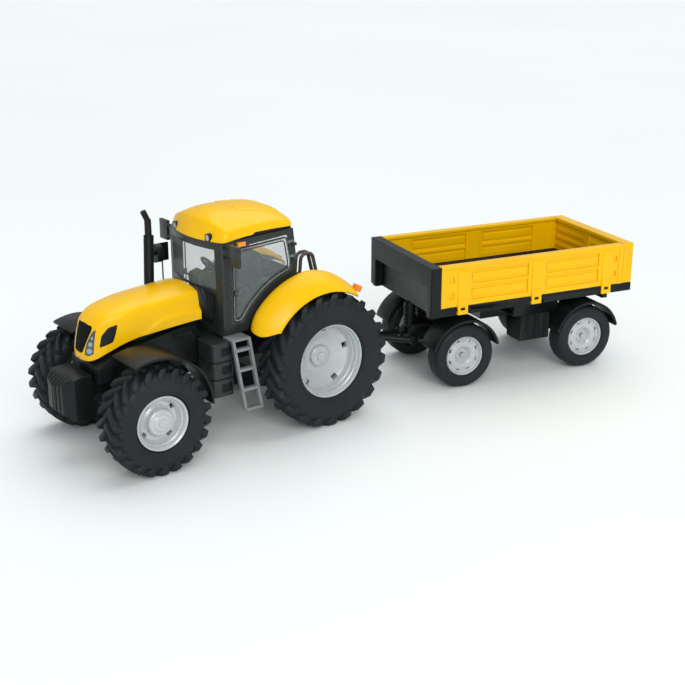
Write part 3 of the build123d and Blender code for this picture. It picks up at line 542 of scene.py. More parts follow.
def moulded(name, low, high, rough, grain=900.0, depth=0.00004, coat=0.0, metallic=0.0, specular=0.5):
    """Moulded plastic: slow drift of tone, uneven gloss and a fine surface grain."""
    material, tree, shader = node_material(name)
    drift = noise(tree, 14.0, 4.0)
    tree.links.new(ramp(tree, drift, low, high), shader.inputs["Base Color"])
    smear = noise(tree, 60.0, 5.0)
    tree.links.new(level(tree, smear, *rough), shader.inputs["Roughness"])
    bump(tree, shader, noise(tree, grain, 2.0), 0.35, depth)
    shader.inputs["Metallic"].default_value = metallic
    shader.inputs["Specular IOR Level"].default_value = specular
    if coat:
        shader.inputs["Coat Weight"].default_value = coat
        shader.inputs["Coat Roughness"].default_value = 0.08
    return material


yellow = moulded(
    "golden_yellow", (0.86, 0.47, 0.001), (0.94, 0.545, 0.002), (0.18, 0.28), 700, 0.00002, specular=0.24
)
black = moulded("satin_black", (0.006, 0.0075, 0.0075), (0.010, 0.012, 0.0125), (0.30, 0.44), specular=0.22)
dark_grey = moulded("dark_grey", (0.030, 0.034, 0.036), (0.048, 0.053, 0.055), (0.34, 0.46), specular=0.3)
silver = moulded(
    "silver_grey", (0.44, 0.47, 0.47), (0.54, 0.57, 0.57), (0.24, 0.36), 800, 0.00002, 0.1, 0.25
)
rubber = moulded(
    "tyre_rubber", (0.009, 0.012, 0.0135), (0.015, 0.019, 0.021), (0.48, 0.62), 1100, 0.00008, specular=0.25
)
smoke = moulded("smoked_lens", (0.055, 0.060, 0.065), (0.16, 0.17, 0.175), (0.08, 0.16), 300, 0.00003, 0.4)
orange = moulded("orange_lens", (0.80, 0.22, 0.01), (0.92, 0.32, 0.02), (0.10, 0.2), 400, 0.00003, 0.2)
steel = moulded("steel", (0.42, 0.43, 0.44), (0.58, 0.59, 0.60), (0.22, 0.34), 1200, 0.00001, 0.0, 1.0)


def clear_plastic():
    material, tree, shader = node_material("clear_plastic")
    drift = noise(tree, 30.0, 3.0)
    tree.links.new(ramp(tree, drift, (0.30, 0.37, 0.38), (0.42, 0.49, 0.50)), shader.inputs["Base Color"])
    tree.links.new(level(tree, noise(tree, 90.0, 3.0), 0.05, 0.12), shader.inputs["Roughness"])
    shader.inputs["Alpha"].default_value = 0.17
    shader.inputs["Specular IOR Level"].default_value = 0.8
    return material


glass = clear_plastic()

SLOT_MATERIALS = {
    "yellow_plastic": yellow,
    "black_plastic": black,
    "silver_plastic": silver,
    "tyre_rubber": rubber,
    "clear_plastic": glass,
    "lamp_smoke": smoke,
    "lamp_orange": orange,
    "steel": steel,
    "grey_plastic": dark_grey,
}
SLOT_OF = {s["node"]: s["material_slot"] for s in frame["record"]["subparts"]}
hose_rubber = moulded(
    "hose_rubber", (0.060, 0.048, 0.042), (0.085, 0.070, 0.060), (0.40, 0.52), 1100, 0.00004
)
charcoal = moulded(
    "charcoal_grey", (0.017, 0.021, 0.021), (0.027, 0.032, 0.032), (0.28, 0.40), specular=0.34
)
lamp_cover = moulded(
    "lamp_cover", (0.040, 0.050, 0.056), (0.090, 0.108, 0.118), (0.06, 0.14), 300, 0.00002, 0.5
)
pale_lens = moulded("pale_lens", (0.20, 0.24, 0.26), (0.42, 0.46, 0.48), (0.08, 0.18), 500, 0.00003, 0.4)
# light grey: on the door beads it is a painted highlight line; on the ladders it is partly their own grey,
# partly a painted highlight for a metal sheen
light_grey_painted_highlight = moulded("light_grey_painted_highlight", (0.16, 0.175, 0.18), (0.23, 0.245, 0.25), (0.28, 0.40))


# ---- tyres ----
def carcass(radius, rim_r, y_in, y_out):
    """The outline of a tyre from bead to bead, over round shoulders."""
    half = (y_out - y_in) / 2
    mid = (y_in + y_out) / 2
    outline = []
    for side in (-1, 1):
        points = [
            (rim_r - 1.4, half - 5.5), (rim_r + 0.6, half - 3.0), (rim_r + 1.6, half - 1.0),
            (rim_r + 3.2, half - 0.6), (rim_r + 4.0, half - 1.1), (rim_r + 8.0, half - 0.3),
            (radius - 11.0, half - 0.2), (radius - 7.5, half - 1.2), (radius - 5.0, half - 3.6),
            (radius - 4.1, half - 8.0),
        ]
        line = [(p.x, mid + side * p.y) for p in smooth_line([(*p, 0) for p in points], 3)]
        outline += line if side > 0 else list(reversed(line))
    return outline


def lug(bm, axle, side, y_mid, half, radius, angle, sweep, width):
    """One tread bar: from the middle of the tread out over the shoulder and down the side."""
    stations = [
        (-0.02, radius - 0.4, 0.00, 0.92), (0.06, radius, 0.07, 1.0), (0.35, radius, 0.34, 1.0),
        (0.65, radius, 0.64, 1.08), (0.88, radius - 0.4, 0.86, 1.2), (0.975, radius - 1.8, 0.95, 1.3),
        (1.0, radius - 5.0, 1.0, 1.15), (0.992, radius - 9.6, 1.03, 0.5),
    ]
    rows = []
    for i, (across, top_r, turn, wide) in enumerate(stations):
        base_r = min(radius - 5.4, top_r - 1.0) if i < 6 else top_r - 1.0
        y = y_mid + side * across * half
        base_y = y if i < 5 else y_mid + side * (across - 0.11) * half
        a = angle + sweep * turn
        ring = []
        for offset, r, at_y in (
            (-0.72, base_r, base_y), (-0.42, top_r, y), (0.42, top_r, y), (0.72, base_r, base_y),
        ):
            b = a + offset * wide * width / radius
            ring.append((axle[0] + r * cos(b), at_y, axle[1] + r * sin(b)))
        rows.append(ring)
    verts = grid(bm, rows, wrap_columns=True)
    close_ends(bm, verts)


LUGS = 22


def farm_tyre(node, rim_node, lean):
    """A left tractor tyre: carcass and two rows of curved tread bars."""
    axle, radius, y_in, y_out = wheel_size(node, TRACTOR)
    rim_r = wheel_size(rim_node, TRACTOR)[1]
    bm = bmesh.new()
    lathe(bm, axle, carcass(radius, rim_r, y_in, y_out), 120)
    half, mid = (y_out - y_in) / 2, (y_out + y_in) / 2
    for side in (-1, 1):
        for i in range(LUGS):
            angle = 2 * pi * (i + (0.5 if side > 0 else 0.0)) / LUGS
            lug(bm, axle, side, mid, half, radius - 0.05, angle, lean, radius * 0.10)
    return outward(bm)


LUG_SWEEP = radians(-17)
rear_tyre = with_mirror(farm_tyre("rear_tyres", "rear_rims", LUG_SWEEP))
piece(
    "rear_tyres_moulded", rear_tyre, TRACTOR, rubber, "rear_wheels", ("rear_tyres",), "tyre_rubber",
    bevel=0.35, bevel_steps=1, sharp=40,
)
pair(
    "front_tyre", farm_tyre("front_tyre_left", "front_rim_left", LUG_SWEEP), TRACTOR, rubber,
    "front_tyre_*", slot="tyre_rubber", bevel=0.3, bevel_steps=1, sharp=40,
)


def road_tyres(node, rim_node):
    """The trailer's two tyres on one axle: rounded shoulders and three fine grooves."""
    axle, radius, y_in, y_out = wheel_size(node, TRAILER)
    rim_r = wheel_size(rim_node, TRAILER)[1]
    half, mid = (y_out - y_in) / 2, (y_out + y_in) / 2
    side = [
        (rim_r - 1.2, half - 5.0), (rim_r + 0.5, half - 1.8), (rim_r + 1.6, half - 0.5),
        (rim_r + 2.6, half - 0.7), (rim_r + 5.0, half), (radius - 4.2, half - 0.4),
        (radius - 1.6, half - 1.9), (radius - 0.3, half - 4.2), (radius, half - 6.6),
    ]
    line = [(p.x, p.y) for p in smooth_line([(*p, 0) for p in side], 3)]
    grooves = []
    for groove in (4.6, 0.0, -4.6):
        for r, step in ((radius, 0.55), (radius - 0.8, 0.4), (radius - 0.8, -0.4), (radius, -0.55)):
            grooves.append((r, mid + groove + step))
    outline = [(r, mid - y) for r, y in line]
    outline += list(reversed(grooves))
    outline += [(r, mid + y) for r, y in reversed(line)]
    bm = bmesh.new()
    lathe(bm, axle, outline, 112)
    return with_mirror(outward(bm))


def merge(bm, other):
    """Adds one bmesh to another."""
    mesh = bpy.data.meshes.new("part")
    other.to_mesh(mesh)
    other.free()
    bm.from_mesh(mesh)
    bpy.data.meshes.remove(mesh)


# ---- rims ----
def bolt_circle(bm, axle, circle_r, count, y, size, height, turn=0.0):
    for a in turns(count):
        a += turn
        at = (axle[0] + circle_r * cos(a), y, axle[1] + circle_r * sin(a))
        tube(bm, [at, (at[0], y + height, at[2])], size, 6)


def slot_cutters(axle, circle_r, count, size, y_range, turn=0.0):
    """Blocks that cut ventilation slots round a wheel disc: size is radial, then along the ring."""
    bm = bmesh.new()
    for a in turns(count):
        shape = bmesh.new()
        box(shape, (circle_r - size[0] / 2, circle_r + size[0] / 2), y_range, (-size[1] / 2, size[1] / 2))
        turn_back = Matrix.Rotation(-turn - a, 4, "Y")
        move = Matrix.Translation((axle[0], 0, axle[1]))
        bmesh.ops.transform(shape, matrix=move @ turn_back, verts=shape.verts[:])
        merge(bm, shape)
    return outward(bm)


def dish(face_y, points):
    """Points of a rim's outline as (radius, y), from (radius, depth behind its outer face)."""
    return [(r, face_y - depth) for r, depth in points]


def wheel_disc(axle, outline, steps=112):
    bm = bmesh.new()
    lathe(bm, axle, outline, steps)
    return outward(bm)


axle_low, axle_high = span("rear_axle", TRACTOR)
REAR_AXLE = (0.0, (axle_low.z + axle_high.z) / 2)
RIM_R, RIM_IN, RIM_Y = wheel_size("rear_rims", TRACTOR)[1:]
rear_disc = wheel_disc(
    REAR_AXLE,
    dish(RIM_Y, [
        (0.01, 15.4), (3.6, 15.4), (4.2, 16.6), (8.8, 16.8), (9.6, 17.6), (10.0, 19.6), (13.8, 19.9),
        (15.4, 19.4), (20.4, 17.2), (24.4, 15.2), (27.4, 13.8), (28.6, 11.8), (29.2, 8.6), (29.8, 8.2),
        (30.3, 4.2), (31.0, 3.8), (31.6, 1.1), (32.2, 0.2), (33.0, 0), (RIM_R, 0.8), (RIM_R - 1.8, 3.5),
        (RIM_R - 1.8, 24.5),
    ])
    + [(RIM_R, RIM_IN + 1.0), (RIM_R - 0.8, RIM_IN), (RIM_R - 3.2, RIM_IN + 2.4)]
    + dish(RIM_Y, [(28.0, 17.6), (22.0, 20.0), (16.0, 22.6), (8.0, 23.4)])
    + [(6.0, RIM_IN + 2.4), (3.3, RIM_IN + 2.4)]
    + dish(RIM_Y, [(3.3, 16.9), (0.01, 16.9)]),
)
SLOT_TURN = radians(22)
rear_cuts = slot_cutters(REAR_AXLE, 25.4, 5, (4.2, 5.6), (RIM_Y - 24, RIM_Y - 10), SLOT_TURN)
bolt_circle(rear_disc, REAR_AXLE, 6.5, 8, RIM_Y - 16.9, 0.95, 1.2)
bolt_circle(rear_disc, REAR_AXLE, 12.0, 10, RIM_Y - 19.9, 1.0, 1.3)
piece(
    "rear_rims_moulded", with_mirror(rear_disc), TRACTOR, silver, "rear_wheels", ("rear_rims",),
    "silver_plastic", cutters=(with_mirror(rear_cuts),), bevel=0.25, sharp=30,
)

FRONT_AXLE, FRIM_R, FRIM_IN, FRIM_Y = wheel_size("front_rim_left", TRACTOR)
front_disc = wheel_disc(
    FRONT_AXLE,
    dish(FRIM_Y, [
        (0.01, 0.6), (3.0, 0.6), (3.4, 1.6), (6.6, 1.6), (7.2, 2.4), (10.4, 2.8), (11.2, 3.6), (11.5, 8.0),
        (13.4, 9.6), (16.6, 9.4), (18.4, 7.2), (19.2, 4.4), (20.2, 4.0), (21.2, 0.8), (22.2, 0),
        (23.0, 0.1), (FRIM_R, 0.9), (FRIM_R - 1.8, 3.4),
    ])
    + [
        (FRIM_R - 1.8, 56.5), (FRIM_R, FRIM_IN + 3.0), (FRIM_R - 0.8, FRIM_IN + 2.2),
        (FRIM_R - 3.2, FRIM_IN + 4.5),
    ]
    + dish(FRIM_Y, [(18.0, 12.0), (12.0, 12.6), (9.0, 11.0)])
    + [(8.6, FRIM_IN + 0.2), (3.2, FRIM_IN + 0.2)]
    + dish(FRIM_Y, [(3.2, 5.4), (0.01, 5.4)]),
)
front_cuts = slot_cutters(FRONT_AXLE, 16.0, 4, (3.2, 4.8), (FRIM_Y - 16, FRIM_Y - 6), radians(53))
bolt_circle(front_disc, FRONT_AXLE, 5.0, 6, FRIM_Y - 1.8, 0.7, 0.9)
bolt_circle(front_disc, FRONT_AXLE, 8.9, 10, FRIM_Y - 2.7, 0.6, 0.7, 0.3)
pair(
    "front_rim", front_disc, TRACTOR, silver, "front_rim_*", slot="silver_plastic",
    cutters=(front_cuts,), bevel=0.22, sharp=30,
)

for place in ("front", "rear"):
    body = f"trailer_{place}_wheels"
    axle, r, inner, y = wheel_size(f"trailer_{place}_rims", TRAILER)
    disc = wheel_disc(
        axle,
        dish(y, [
            (0.01, 6.2), (2.6, 6.2), (3.0, 7.0), (5.6, 7.0), (6.4, 6.0), (7.4, 4.2), (9.0, 2.6),
            (11.4, 2.2), (13.2, 2.6), (15.8, 3.6), (16.8, 3.4), (17.4, 1.6), (18.1, 0.2), (18.8, 0),
            (r, 0.8), (r - 1.3, 3.6),
        ])
        + [(r - 1.3, inner + 3.0), (r, inner + 0.8), (r - 0.9, inner), (r - 2.8, inner + 2.6)]
        + dish(y, [(16.0, 5.4), (12.0, 4.2), (9.0, 5.0), (6.2, 9.0)])
        + [(6.0, inner + 1.6), (2.7, inner + 1.6)]
        + dish(y, [(2.7, 7.9), (0.01, 7.9)]),
        96,
    )
    cuts = slot_cutters(axle, 14.9, 8, (1.7, 4.0), (y - 9, y + 2), radians(22.5))
    bolt_circle(disc, axle, 4.3, 6, y - 7.2, 0.62, 0.9)
    piece(
        f"trailer_{place}_rims_moulded", with_mirror(disc), TRAILER, silver, body,
        (f"trailer_{place}_rims",), "silver_plastic", cutters=(with_mirror(cuts),), bevel=0.2, sharp=30,
    )
    piece(
        f"trailer_{place}_tyres_moulded",
        road_tyres(f"trailer_{place}_tyres", f"trailer_{place}_rims"),
        TRAILER, rubber, body, (f"trailer_{place}_tyres",), "tyre_rubber", sharp=40,
    )


# ---- smooth shells: a solid given by a rounded meeting of three profiles ----
def soft_meet(values, rounding):
    """The smooth largest of several distances: rounds the edge where two faces meet."""
    peak = max(values)
    total = sum(max(0.0, 1 + (v - peak) / rounding) ** 3 for v in values)
    return peak + rounding * (total ** (1 / 3) - 1) * 0.75


def march(inside, start, direction, reach):
    """The point where a ray leaves the solid, by halving."""
    near, far = 0.0, reach
    for _ in range(26):
        half = (near + far) / 2
        if inside(start + direction * half) < 0:
            near = half
        else:
            far = half
    return start + direction * near


BONNET_TOP = [
    (100, 133.4), (104, 134.3), (110, 134.2), (125, 132.9), (140, 132.0), (156, 130.4), (171, 127.7),
    (179, 125.5), (184, 123.6), (188, 121.2), (192, 117.8), (195.5, 113.8), (199.4, 104), (202.4, 93),
    (203.0, 88),
]
BONNET_BOTTOM = [
    (100, 107.8), (120, 106.4), (140, 104.6), (160, 101.8), (171, 99.2), (180, 95.9), (188, 92.0),
    (194, 88.4), (199, 86.0), (203, 84.8),
]
BONNET_HALF = [
    (100, 27.0), (120, 26.8), (140, 26.4), (160, 25.6), (174, 24.2), (184, 22.3), (192, 19.0), (198, 14.4),
    (201.4, 9.4), (203.1, 3.0),
]
FLARE_TOP = [
    (100, 118.4), (114, 118.0), (126, 117.4), (136, 115.6), (144, 112.6), (150, 108.8), (156, 103), (160, 98),
]
FLARE_OUT = [(100, 3.0), (108, 2.7), (130, 2.2), (146, 1.5), (154, 0.8), (162, 0.0)]


def bonnet_side_y(z):
    """How far the side stands in from its widest, by height: it leans in to a shoulder and over."""
    points = [(80, 0.7), (96, 0.1), (112, 0.2), (118, 0.6), (123, 1.2), (128.5, 2.5), (134, 5.0)]
    return curve_value(points, z)


def bonnet_flare(x, z):
    """The side's lower rear stands out, under a swept line."""
    share = min(1.0, max(0.0, (curve_value(FLARE_TOP, x) - z) / 3.4))
    return curve_value(FLARE_OUT, x) * share * share * (3 - 2 * share)


def bonnet_front_x(z):
    points = [
        (80, 201.6), (88, 202.9), (93, 202.4), (104, 199.4), (114.6, 195.5), (121.8, 190), (127, 183),
        (131.4, 172),
    ]
    return curve_value(points, z)


def bonnet_depth(p):
    """Below zero inside the bonnet's outer form."""
    y = abs(p.y)
    top = p.z - curve_value(BONNET_TOP, p.x) + 0.0066 * y * y
    drop = 134.2 - curve_value(BONNET_TOP, min(p.x, 190))
    side = y - curve_value(BONNET_HALF, p.x) + bonnet_side_y(p.z + drop * 0.92) - bonnet_flare(p.x, p.z)
    front = (p.x - bonnet_front_x(p.z)) * 0.95 + 0.012 * y * y
    return soft_meet((top, side, front), 1.5)


BONNET_REAR = 102.2
FAN_X = 176.0
FAN_Z = 86.0


def bonnet_rows(step=2.2, fan_steps=30, across=54):
    rows = []
    x = BONNET_REAR
    stations = []
    while x < FAN_X:
        stations.append((x, 0.0))
        x += step
    stations += [(FAN_X, radians(90) * i / fan_steps) for i in range(fan_steps)]
    for x, lean in stations:
        start = Vector((x, 0, FAN_Z))

        def hit(angle):
            flat = Vector((0, cos(angle), sin(angle)))
            way = flat * cos(lean) + Vector((sin(lean), 0, 0))
            return march(bonnet_depth, start, way.normalized(), 75)

        low, high = 0.0, pi / 2
        for _ in range(24):
            mid = (low + high) / 2
            point = hit(mid)
            if point.z > curve_value(BONNET_BOTTOM, point.x):
                high = mid
            else:
                low = mid
        angles = [high + (pi - 2 * high) * k / across for k in range(across + 1)]
        rows.append([hit(a) for a in angles])
    return rows


def bonnet_form():
    bm = bmesh.new()
    grid(bm, bonnet_rows())
    return outward(bm)


GRILLE = [(-12.8, 114.0), (0, 115.0), (12.8, 114.0), (7.0, 91.8), (0, 91.0), (-7.0, 91.8)]
LAMP = [
    (9.0, 90.8), (12.4, 90.0), (15.9, 92.2), (16.3, 97.9), (16.5, 106), (16.1, 113), (12.9, 109.8),
    (9.9, 101.5),
]
VENT = [
    (176.6, 115.6), (184.5, 113.8), (190.1, 107.4), (192.2, 97.6), (186.6, 99.3), (181.4, 101.4),
    (178.8, 107.7),
]


def rounded(outline, inset=0.0, steps=5):
    """A closed outline with smooth corners, drawn in or out from its middle."""
    cx = sum(p[0] for p in outline) / len(outline)
    cy = sum(p[1] for p in outline) / len(outline)
    points = []
    for i, p in enumerate(outline):
        q = outline[(i + 1) % len(outline)]
        for t in (0.14, 0.5, 0.86):
            points.append((p[0] + (q[0] - p[0]) * t, p[1] + (q[1] - p[1]) * t, 0))
    out = []
    for p in smooth_line(points, steps, closed=True):
        away = Vector((p.x - cx, p.y - cy))
        size = max(away.length, 1e-6)
        out.append((p.x - away.x / size * inset, p.y - away.y / size * inset))
    return out


def cutter(outline, axis, ends):
    bm = bmesh.new()
    prism(bm, outline, axis, ends)
    return outward(bm)


def side_flip(outline):
    return [(-a, b) for a, b in reversed(outline)]


grille_hole = rounded(GRILLE)
lamp_hole = rounded(LAMP)
vent_hole = rounded(VENT)
piece(
    "bonnet_moulded", bonnet_form(), TRACTOR, yellow, "bonnet_lid", ("bonnet",), "yellow_plastic",
    wall=1.7,
    cutters=(
        cutter(grille_hole, "X", (186, 212)),
        cutter(lamp_hole, "X", (188, 212)),
        cutter(side_flip(lamp_hole), "X", (188, 212)),
        cutter(vent_hole, "Y", (14, 40)),
        cutter(vent_hole, "Y", (-40, -14)),
    ),
    bevel=0.3, sharp=36,
)


def on_front(y, z, sink):
    """The bonnet's front surface at (y, z), sunk by a depth."""
    at = march(bonnet_depth, Vector((170, y, z)), Vector((1, 0, 0)), 50)
    return Vector((at.x - sink, y, z))


def on_side(x, z, sink):
    at = march(bonnet_depth, Vector((x, 4, z)), Vector((0, 1, 0)), 40)
    return Vector((x, at.y - sink, z))


def patch(bm, outline, place, rings=5, back=1.2):
    """A thin plate that follows a surface inside an outline."""
    cx = sum(p[0] for p in outline) / len(outline)
    cy = sum(p[1] for p in outline) / len(outline)
    rows = []
    for k in range(rings + 1):
        share = max(k / rings, 0.02)
        rows.append([place(cx + (a - cx) * share, cy + (b - cy) * share, 0.0) for a, b in outline])
    rows.append([place(a, b, back) for a, b in outline])
    verts = grid(bm, rows, wrap_columns=True)
    bm.faces.new(verts[0])


bm = bmesh.new()
patch(bm, rounded(GRILLE, 0.15), lambda a, b, s: on_front(a, b, 1.2 + s))
SLATS = 15
for i in range(SLATS):
    share = (i + 0.5) / SLATS * 2 - 1
    rows = []
    for k in range(13):
        z = 92.4 + 21.4 * k / 12
        half_width = 6.9 + (12.4 - 6.9) * (z - 92) / 22
        y = share * half_width
        wide = half_width / SLATS * 0.42
        front = on_front(y, z, 0.25).x
        slat = ((-1.3, -1), (0, -0.5), (0, 0.5), (-1.3, 1))
        rows.append([(front + back, y + wide * across, z) for back, across in slat])
    verts = grid(bm, rows, wrap_columns=True)
    close_ends(bm, verts)
piece("grille_slats", outward(bm), TRACTOR, black, "bonnet_lid", ("grille",), "black_plastic", sharp=40)

bm = bmesh.new()
patch(bm, rounded(LAMP, 0.12), lambda a, b, s: on_front(a, b, 0.25 + s), 6, 1.6)
piece(
    "headlamps_lens", with_mirror(outward(bm)), TRACTOR, lamp_cover, "bonnet_lid", ("headlamps",),
    "lamp_smoke", sharp=40,
)
bm = bmesh.new()
for y, z, r in ((13.1, 94.6, 2.2), (13.6, 100.3, 1.9), (14.3, 105.4, 1.3)):
    ring = [(y + r * 0.86 * cos(a), z + r * sin(a)) for a in turns(24)]
    patch(bm, ring, lambda a, b, s: on_front(a, b, s + 0.05), 3, 0.7)
piece(
    "headlamps_reflectors", with_mirror(outward(bm)), TRACTOR, pale_lens, "bonnet_lid",
    slot="lamp_smoke", sharp=40,
)
bm = bmesh.new()
patch(bm, rounded(VENT, 0.12), lambda a, b, s: on_side(a, b, 0.5 + s), 4, 1.2)
piece(
    "side_vents_mesh", with_mirror(outward(bm)), TRACTOR, black, "bonnet_lid", ("side_vents",),
    "black_plastic", sharp=40,
)


# ---- roof ----
ROOF_TOP = [
    (11, 184.0), (15, 187.2), (19, 189.4), (27, 192.0), (36, 193.6), (46, 194.5), (56, 195.0), (66, 195.0),
    (74, 194.2), (80, 192.6), (86, 189.6), (91, 186.0), (94, 183.2), (96, 180.6),
]
ROOF_CROWN = [
    (12, 0.0036), (20, 0.0044), (27, 0.0051), (46, 0.0065), (64, 0.0069), (80, 0.0064), (86, 0.0050),
    (94, 0.0036),
]
ROOF_BOTTOM = [
    (12, 177.2), (30, 177.8), (46, 177.8), (56.4, 177.4), (56.8, 176.3), (64, 175.9), (72, 175.0),
    (80, 173.9), (86, 173.0), (97, 172.5),
]
ROOF_HALF = [
    (10, 35), (14, 39.4), (20, 41.6), (36, 42.2), (54, 42.4), (60, 43.0), (74, 43.2), (84, 42.8),
    (87, 41.0), (90, 36), (97, 12),
]


def roof_depth(p):
    """Below zero inside the roof: a crowned top over near-upright sides and a raked, bowed front."""
    y = abs(p.y)
    top = p.z - curve_value(ROOF_TOP, p.x) + curve_value(ROOF_CROWN, p.x) * y * y
    side = (y - curve_value(ROOF_HALF, p.x) + max(0.0, p.z - 175.5) * 0.20) * 0.97
    front = (p.x - (96.2 - 0.0052 * y * y - max(0.0, p.z - 173) * 0.50)) * 0.9
    rear = (12.9 + 0.0016 * y * y + max(0.0, p.z - 177) * 0.25) - p.x
    return soft_meet((top, side, front, rear), 1.1)


def roof_form(around=200, rings=40):
    """A dome: rays from the roof's middle, from its rim up to its top."""
    start = Vector((54, 0, 172.2))
    rows = []
    for i in range(rings):
        row = []
        for a in turns(around):
            flat = Vector((cos(a), sin(a), 0))
            low, high = 0.0, pi / 2
            for _ in range(16):
                mid = (low + high) / 2
                point = march(roof_depth, start, flat * cos(mid) + Vector((0, 0, sin(mid))), 80)
                if point.z > curve_value(ROOF_BOTTOM, point.x):
                    high = mid
                else:
                    low = mid
            share = i / rings
            e = high + (pi / 2 - high) * (0.45 * share + 0.55 * share * share)
            row.append(march(roof_depth, start, flat * cos(e) + Vector((0, 0, sin(e))), 80))
        rows.append(row)
    bm = bmesh.new()
    verts = grid(bm, rows, wrap_columns=True)
    bm.faces.new(verts[-1])
    return outward(bm)


LAMP_Y = 26.9
LAMP_Z = 175.4
lamp_cuts = bmesh.new()
for side in (-1, 1):
    rod(lamp_cuts, (84, side * LAMP_Y, LAMP_Z), (104, side * LAMP_Y, LAMP_Z), 3.7, 32)
piece(
    "roof_moulded", roof_form(), TRACTOR, yellow, "tractor", ("roof",), "yellow_plastic",
    wall=1.8, cutters=(outward(lamp_cuts),), bevel=0.3, sharp=40,
)
lamp_front = march(roof_depth, Vector((60, LAMP_Y, LAMP_Z)), Vector((1, 0, 0)), 60).x


def lamp_rows(side, outline, steps):
    """Rings of points about a work lamp's axis, from an outline of (radius, distance forward)."""
    return [
        [(lamp_front + x, side * LAMP_Y + r * cos(a), LAMP_Z + r * sin(a)) for a in turns(steps)]
        for r, x in outline
    ]


RING = ((3.65, -4.0), (3.65, 1.2), (3.45, 1.5), (3.1, 1.4), (3.0, 0.6), (3.0, -4.0))
LENS_DOME = ((2.97, -3.6), (2.97, 1.0), (2.5, 1.5), (1.6, 1.9), (0.6, 2.05))
rings = bmesh.new()
lenses = bmesh.new()
for side in (-1, 1):
    grid(rings, lamp_rows(side, RING, 40), wrap_rows=True, wrap_columns=True)
    verts = grid(lenses, lamp_rows(side, LENS_DOME, 32), wrap_columns=True)
    lenses.faces.new(verts[-1])
    lenses.faces.new(list(reversed(verts[0])))
piece("work_lamp_rings", outward(rings), TRACTOR, black, "tractor", slot="black_plastic", sharp=35)
piece(
    "work_lamp_lenses", outward(lenses), TRACTOR, pale_lens, "tractor", ("work_lamps",), "lamp_smoke",
    sharp=35,
)

HATCH_RISE = 0.55
hatch = [(57.5, 16), (56, 20.5), (42, 23), (24, 24), (17.5, 22), (16, 15)]
hatch = hatch + [(x, -y) for x, y in reversed(hatch)]
bm = bmesh.new()


def on_roof(x, y, sink):
    """A point on the hatch, which stands up from the roof by HATCH_RISE."""
    at = march(roof_depth, Vector((x, y, 174)), Vector((0, 0, 1)), 30)
    return at + Vector((0, 0, HATCH_RISE - sink))


patch(bm, eased(hatch, 3.0, 4), on_roof, 8, 1.2)
piece("roof_hatch", outward(bm), TRACTOR, yellow, "tractor", slot="yellow_plastic", bevel=0.2, sharp=40)

band = [(x, curve_value(ROOF_HALF, x) - 1.3) for x in (15, 20, 36, 54, 60, 74, 84, 86)]
front_band = [(94.4 - 0.0054 * y * y, y) for y in (36, 30, 22, 12, 0, -12, -22, -30, -36)]
back_band = [(x, curve_value(ROOF_HALF, x) - 1.9) for x in (16, 20, 36, 54, 60, 72, 78)]
bm = bmesh.new()
prism(bm, band + front_band + [(x, -y) for x, y in reversed(band)], "Z", (171.6, 173.6))
prism(bm, back_band + [(x, -y) for x, y in reversed(back_band)], "Z", (173, 179.2))
piece("roof_lining", outward(bm), TRACTOR, black, "tractor", slot="black_plastic", bevel=0.3, sharp=30)


# ---- rear wings ----
WING_SECTION = [
    (42.4, 71.6), (44.6, 74.8), (48.0, 77.6), (52.0, 78.6), (56.5, 77.4), (61.0, 74.8), (66.0, 70.8),
    (69.6, 67.0), (71.6, 64.2), (72.6, 61.9),
]
WING_START = 26.4  # degrees about the rear axle, from straight ahead
WING_END = 121.0
TAIL_START = 84.0
NOSE_LENGTH = 13.0
WING_RIM = 61.9


def wing():
    """A left rear wing: a domed section carried over the wheel, rounded off at its lower front."""
    section = smooth_line([(*p, 0) for p in WING_SECTION], 4)
    rows = []
    steps = 72
    for i in range(steps + 1):
        share = i / steps
        row = []
        for p in section:
            y, r = p.x, p.y
            start = WING_START + (5.0 * ((60 - y) / 17.6) ** 2 if y < 60 else 8.5 * ((y - 60) / 12.6) ** 2)
            angle = start + (WING_END - start) * share
            tail = min(1.0, max(0.0, (angle - TAIL_START) / (WING_END - TAIL_START)))
            nose = max(0.0, 1 - (angle - start) / NOSE_LENGTH)
            r = WING_RIM + (r - WING_RIM) * (1 - 0.60 * tail**1.2) * (1 - 0.20 * nose**2)
            a = radians(angle)
            row.append((REAR_AXLE[0] + r * cos(a), y, REAR_AXLE[1] + r * sin(a)))
        rows.append(row)
    bm = bmesh.new()
    grid(bm, rows)
    return outward(bm)


wing_left = wing()
wing_faces = sum(f.normal.z for f in wing_left.faces)
if wing_faces < 0:
    bmesh.ops.reverse_faces(wing_left, faces=wing_left.faces[:])
wing_right = mirrored(wing_left)
for side, shape in (("left", wing_left), ("right", wing_right)):
    piece(
        f"wing_{side}", shape, TRACTOR, yellow, "tractor", (f"fender_{side}",), "yellow_plastic",
        wall=2.0, bevel=0.5, bevel_steps=3, sharp=45,
    )

# ---- trailer boards ----
POSTS = ((-95, -84), (-175.5, -164.5), (-255.5, -244.5))
PANELS = ((-160.5, -99), (-240.5, -180))
board_low, board_high = span("side_board_left", TRAILER)
x0, x1 = board_low.x, board_high.x
board = [
    ((x0, x1), (58.8, 60.6), (83.4, 123)),
    ((x0, x1), (57.0, 62.4), (116.8, 121)),
    ((x0, x1), (55.5, 63.3), (120.2, 123)),
    ((x0, x1), (57.0, 62.4), (83.4, 88.2)),
    ((-99, x1), (57.0, 62.4), (83.4, 118)),
    ((-180, -160.5), (57.0, 62.4), (83.4, 118)),
    ((x0, -240.5), (57.0, 62.4), (83.4, 118)),
    ((-71.6, x1), (57.0, 63.1), (83.4, 121)),
    ((x0, -263.6), (57.0, 63.1), (83.4, 121)),
]
board += [(post, (56.9, 63.1), (83.4, 118)) for post in POSTS]
board += [((a, b), (57.4, 62.1), (101.2, 104.0)) for a, b in PANELS]
